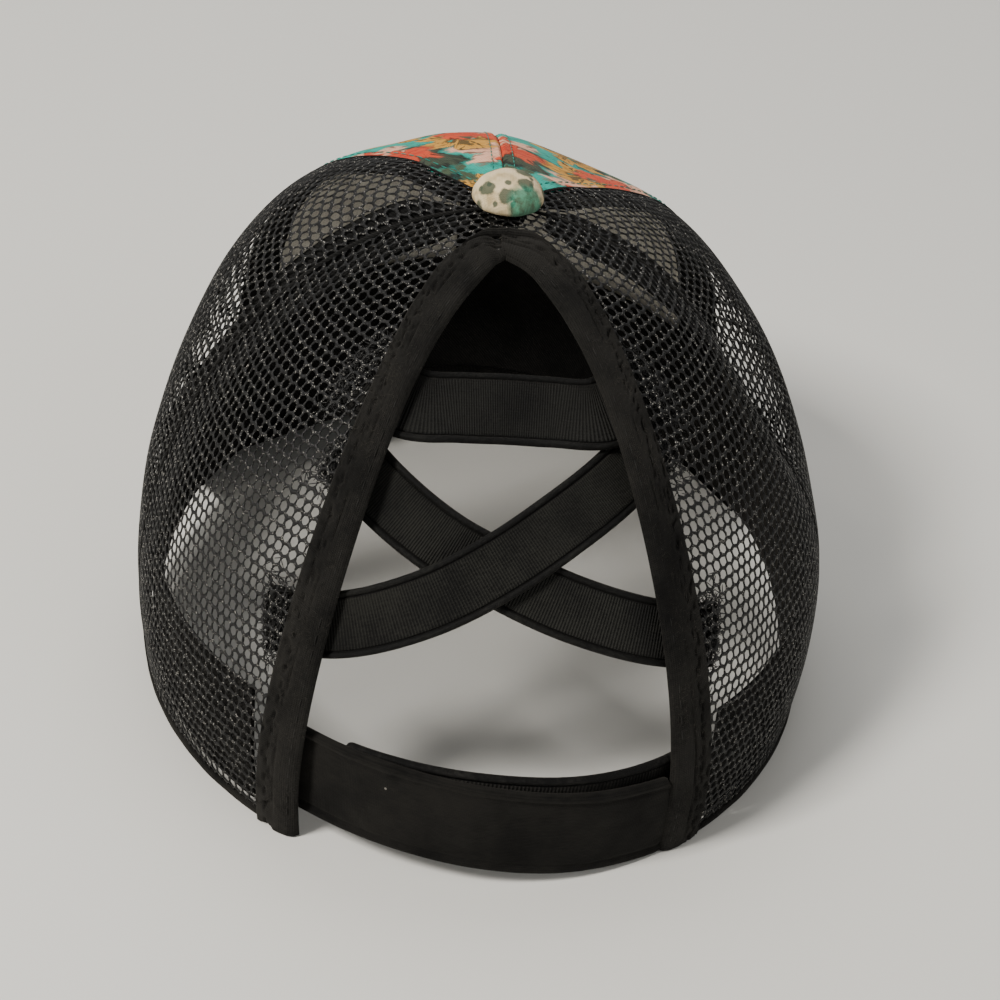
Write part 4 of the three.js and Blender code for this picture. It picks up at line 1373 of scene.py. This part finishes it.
@dataclass
class FrayedEnds:
    """Cut ends of the elastics behind the mesh: yarns that have come loose and stick out from the cut, each a
    short straight thread.
    """

    yarns: int = 560
    length: float = 3.0
    thread: float = 0.26

    def build(self) -> Piece:
        """All the ends, each with a few hundred short yarns."""
        turn = np.random.default_rng(91)
        middles, along, ups = [], [], []
        for strap in straps()[:3]:
            for share, ahead in ((0.0, -1.0), (1.0, 1.0)):
                point, side, out = strap.frame_at(np.array([share - ahead * 0.02]))
                forward = strap.frame_at(np.array([share]))[0][0] - point[0]
                forward /= np.linalg.norm(forward)
                n = self.yarns
                across, beyond = turn.normal(0, 0.3, n) * strap.width, turn.uniform(-3.5, 3.6, n)
                level = turn.uniform(0.2, 1.6, n)
                middles.append(point[0] + across[:, None] * side[0] + beyond[:, None] * forward
                               + level[:, None] * out[0])
                wild = turn.normal(0, 1, (n, 3))
                wild -= 0.75 * (wild @ out[0])[:, None] * out[0]
                along.append(forward * 0.9 + wild)
                ups.append(np.tile(out[0], (n, 1)))
        obj = strewn("frayed_elastic_ends", np.concatenate(middles), np.concatenate(along),
                     np.concatenate(ups), self.length, self.thread)
        return dress(obj, YARN.material())


@dataclass
class Lining:
    """Seam tapes, sweatband, the rim's sewn roll and the ridges of the seams."""

    tape: float = 14.0
    depth: float = 1.55
    foot: float = 1.2
    top: float = 0.925
    band: float = 33.0
    hem_start: float = 37.6

    def seam_tape(self, deg: float, name: str, node: str) -> Piece:
        """A tape under one seam."""
        def place(u: Array, v: Array) -> Array:
            """Follows the seam up to the button's washer."""
            foot = CROWN.rim_climb(np.full_like(u, deg), self.foot)
            climb = foot + (self.top - foot) * v
            reach = CROWN.radius(deg, climb)
            half = np.minimum(self.tape / 2, 0.36 * reach)
            depth = self.depth + 0.08 * np.cos(u * math.tau * 2)
            return CROWN.at(deg + np.degrees((u * 2 - 1) * half / reach), climb, depth)

        obj = laid_grid(name, (12, 80), (self.tape, 140.0), place)
        dress(shade(thickened(obj, 0.85)), TAPE.material(), [node])
        climbs = np.linspace(float(CROWN.rim_climb(np.array([deg]), self.foot)[0]), self.top, 60)
        line = CROWN.at(np.full(60, deg), climbs, self.depth)
        # the width is the tape's mean one, because it is laid out by angle and narrows to the button
        return obj

    def build(self) -> list[Piece]:
        """All pieces of the lining and edges."""
        made = []
        for deg, word in ((CROWN.rear_seam, "rear_left"), (-CROWN.rear_seam, "rear_right"),
                          (CROWN.front_seam, "front_left"), (-CROWN.front_seam, "front_right"),
                          (180.0, "front_centre")):
            made.append(self.seam_tape(deg, f"tape_{word}", f"seam_tape_{word}"))

        def sweat(u: Array, v: Array) -> Array:
            """The sweatband, slightly padded, with a thin top edge."""
            deg = 41 + 278 * u
            puff = 0.5 * np.sin(np.pi * v) ** 0.5
            climb = CROWN.climb_at(np.radians(deg), CROWN.rim(deg) + 0.6 + v * self.band)
            return CROWN.at(deg, climb, 2.95 + puff)

        obj = laid_grid("padded_sweatband", (220, 16), (self.band * 14, self.band), sweat)
        made.append(dress(shade(thickened(obj, 1.1)), BAND.material(), ["sweatband"]))

        cotton = COTTON.material()
        for sign, word in ((1, "left"), (-1, "right")):
            def hem(u: Array, v: Array, sign: int = sign) -> Array:
                """A narrow sewn roll along the rim of the mesh panels."""
                deg = sign * (self.hem_start + (CROWN.front_seam - self.hem_start) * v)
                turn = u * math.tau
                climb = CROWN.climb_at(np.radians(deg), CROWN.rim(deg) + 1.3 + 1.2 * np.sin(turn))
                return CROWN.at(deg, climb, 0.5 - 0.75 * np.cos(turn) + 0.06 * ripple(u * 4, v * 150, 71, 9))

            roll = rolled(f"rim_roll_{word}", (12, 160), (6.0, 150.0), hem)
            made.append(dress(shade(roll), cotton))
        ridges = []
        for deg in (CROWN.rear_seam, -CROWN.rear_seam, CROWN.front_seam, -CROWN.front_seam):
            def ridge(u: Array, v: Array, deg: float = deg) -> Array:
                """A low ridge where two panels are sewn together."""
                turn = u * math.tau
                foot = CROWN.rim_climb(np.full_like(u, deg), 0.4)
                climb = foot + (0.975 - foot) * v
                reach = CROWN.radius(deg, climb)
                half = np.minimum(0.5, 0.1 * reach)
                aside = np.degrees(half * np.sin(turn) / reach)
                return CROWN.at(deg + aside, climb, 0.4 - 0.36 * np.cos(turn))

            ridges.append(rolled("ridge", (8, 90), (4.0, 140.0), ridge))
        made.append(dress(shade(joined("panel_seams", ridges)), TAPE.material()))
        return made


@dataclass
class PeakPiece:
    """The peak: cloth over a curved board, its rounded edge and rows of stitching."""

    rows: int = 8
    apart: float = 6.0
    cells: tuple[int, int] = (120, 180)

    def build(self) -> list[Piece]:
        """The peak's board and its stitching."""
        size, centre = CROWN.peak, CROWN.peak_centre()

        def place(u: Array, v: Array) -> Array:
            """Goes out over the top, round the edge and back underneath."""
            over = v < 0.5
            out = np.where(over, v * 2, 2 - v * 2)
            out = 1 - (1 - out) ** 1.35
            across = u * 2 - 1
            x, y, forward = CROWN.peak_plan(across, out)
            rim_x, rim_y, _ = CROWN.peak_plan(across, np.ones_like(out))
            wide = np.hypot(x - rim_x, y - rim_y)
            half = size.thickness / 2 * np.sqrt(np.clip(1 - (1 - np.minimum(wide, 1.4) / 1.4) ** 2, 0, 1))
            groove = 0
            for row in range(1, self.rows + 1):
                groove = groove + 0.3 * np.exp(-((wide - row * self.apart) / 0.8) ** 2)
            level = centre + CROWN.peak_drop(x, forward) - size.thickness / 2
            thick = np.maximum(half - groove * (half > 1), 0)
            return np.stack([x, y, level + np.where(over, 1, -1) * thick], -1)

        flat = measured(laid_grid("stitched_peak", self.cells, (240.0, 160.0), place), self.cells)
        obj = closed(flat)
        made = [dress(shade(obj, 60), PEAK_CLOTH.material(), ["peak"])]
        across = np.linspace(-0.985, 0.985, 500)
        forward = CROWN.peak_plan(across, np.ones(500))[2]
        rows = []
        for row in range(1, self.rows + 1):
            out = 1 - row * self.apart / np.maximum(forward, 1.0)
            keep = out > 0.05
            if keep.sum() < 20:
                continue
            x, y, ahead = CROWN.peak_plan(across[keep], out[keep])
            z = centre + CROWN.peak_drop(x, ahead) - 0.3
            path = np.stack([x, y, z], -1)
            rows.append(stitched("row", path, np.tile([0.0, 0.0, 1.0], (len(x), 1)), 3.2, 2.4, 0.34))
        made.append(dress(joined("peak_stitches", rows), THREAD.material()))
        return made


# The studio.
@dataclass(frozen=True)
class Studio:
    """Camera at the photograph's angle, pale floor and soft light. Its lengths are metres."""

    elevation: float = 31.0
    azimuth: float = 4.1
    roll: float = 5.0
    distance: float = 0.65
    height: float = 0.060
    shift: tuple[float, float] = (0.00445, 0.0174)
    lens: float = 96.3

    def camera(self) -> None:
        """Puts the camera behind and above the cap."""
        e, a = math.radians(self.elevation), math.radians(self.azimuth)
        back = Vector((math.sin(a) * math.cos(e), math.cos(a) * math.cos(e), math.sin(e)))
        right = (-back).cross(Vector((0, 0, 1))).normalized()
        up = right.cross(-back).normalized()
        target = Vector((HOME[0], HOME[1], HOME[2] + self.height))
        data = bpy.data.cameras.new("camera")
        data.lens, data.sensor_width = self.lens, 36.0
        data.clip_start, data.clip_end = 0.01, 20.0
        camera = bpy.data.objects.new("camera", data)
        bpy.context.scene.collection.objects.link(camera)
        aim = target + right * self.shift[0] - up * self.shift[1]
        turned = math.radians(self.roll)
        tilted_up = up * math.cos(turned) - right * math.sin(turned)
        tilted_right = right * math.cos(turned) + up * math.sin(turned)
        eye = target + back * self.distance
        look = (aim - eye).normalized()
        tilted_right = (tilted_right - look * tilted_right.dot(look)).normalized()
        tilted_up = tilted_right.cross(look)
        camera.rotation_mode = "QUATERNION"
        camera.matrix_world = Matrix((
            (tilted_right.x, tilted_up.x, -look.x, eye.x), (tilted_right.y, tilted_up.y, -look.y, eye.y),
            (tilted_right.z, tilted_up.z, -look.z, eye.z), (0, 0, 0, 1)))
        bpy.context.scene.camera = camera

    def floor(self) -> None:
        """A plain pale floor."""
        only_none()
        bpy.ops.mesh.primitive_plane_add(size=6.0, location=(0, 0, 0))
        ground = bpy.context.object
        ground.name = "floor"
        made = bpy.data.materials.new("pale_floor")
        made.use_nodes = True
        shader = made.node_tree.nodes["Principled BSDF"]
        shader.inputs["Base Color"].default_value = linear("#d6d5d0")
        shader.inputs["Roughness"].default_value = 0.9
        ground.data.materials.append(made)

    def light(self) -> None:
        """A large soft key from the picture's upper left, a fill and a pale surround."""
        world = bpy.data.worlds.new("studio")
        bpy.context.scene.world = world
        world.use_nodes = True
        world.node_tree.nodes["Background"].inputs[0].default_value = linear("#dcdad6")
        world.node_tree.nodes["Background"].inputs[1].default_value = 0.5
        for name, place, size, power in (("key", (0.85, 0.7, 1.15), 0.36, 32.0),
                                         ("fill", (-1.2, 0.9, 0.8), 1.4, 6.0),
                                         ("top", (0.1, -0.9, 1.3), 1.2, 9.0)):
            data = bpy.data.lights.new(name, "AREA")
            data.size, data.energy = size, power
            data.color = (1.0, 0.96, 0.9) if name == "key" else (1.0, 1.0, 1.0)
            lamp = bpy.data.objects.new(name, data)
            lamp.location = place
            lamp.rotation_mode = "QUATERNION"
            lamp.rotation_quaternion = (Vector((0, 0.03, 0.05)) - Vector(place)).to_track_quat("-Z", "Y")
            bpy.context.scene.collection.objects.link(lamp)


def main() -> None:
    """Builds the studio and each sub-assembly in order."""
    logging.basicConfig(level=logging.INFO, format="%(message)s")
    studio = Studio()
    studio.camera()
    studio.floor()
    studio.light()
    made = [*NetPanels().build(), *FrontPanels().build(), CoveredButton().build(), *Binding().build()]
    for strap in straps():
        made += strap.build()
    made += [FrayedEnds().build(), *Lining().build(), *PeakPiece().build()]
    LOG.info("%d pieces", len(made))


if __name__ == "__main__":
    main()
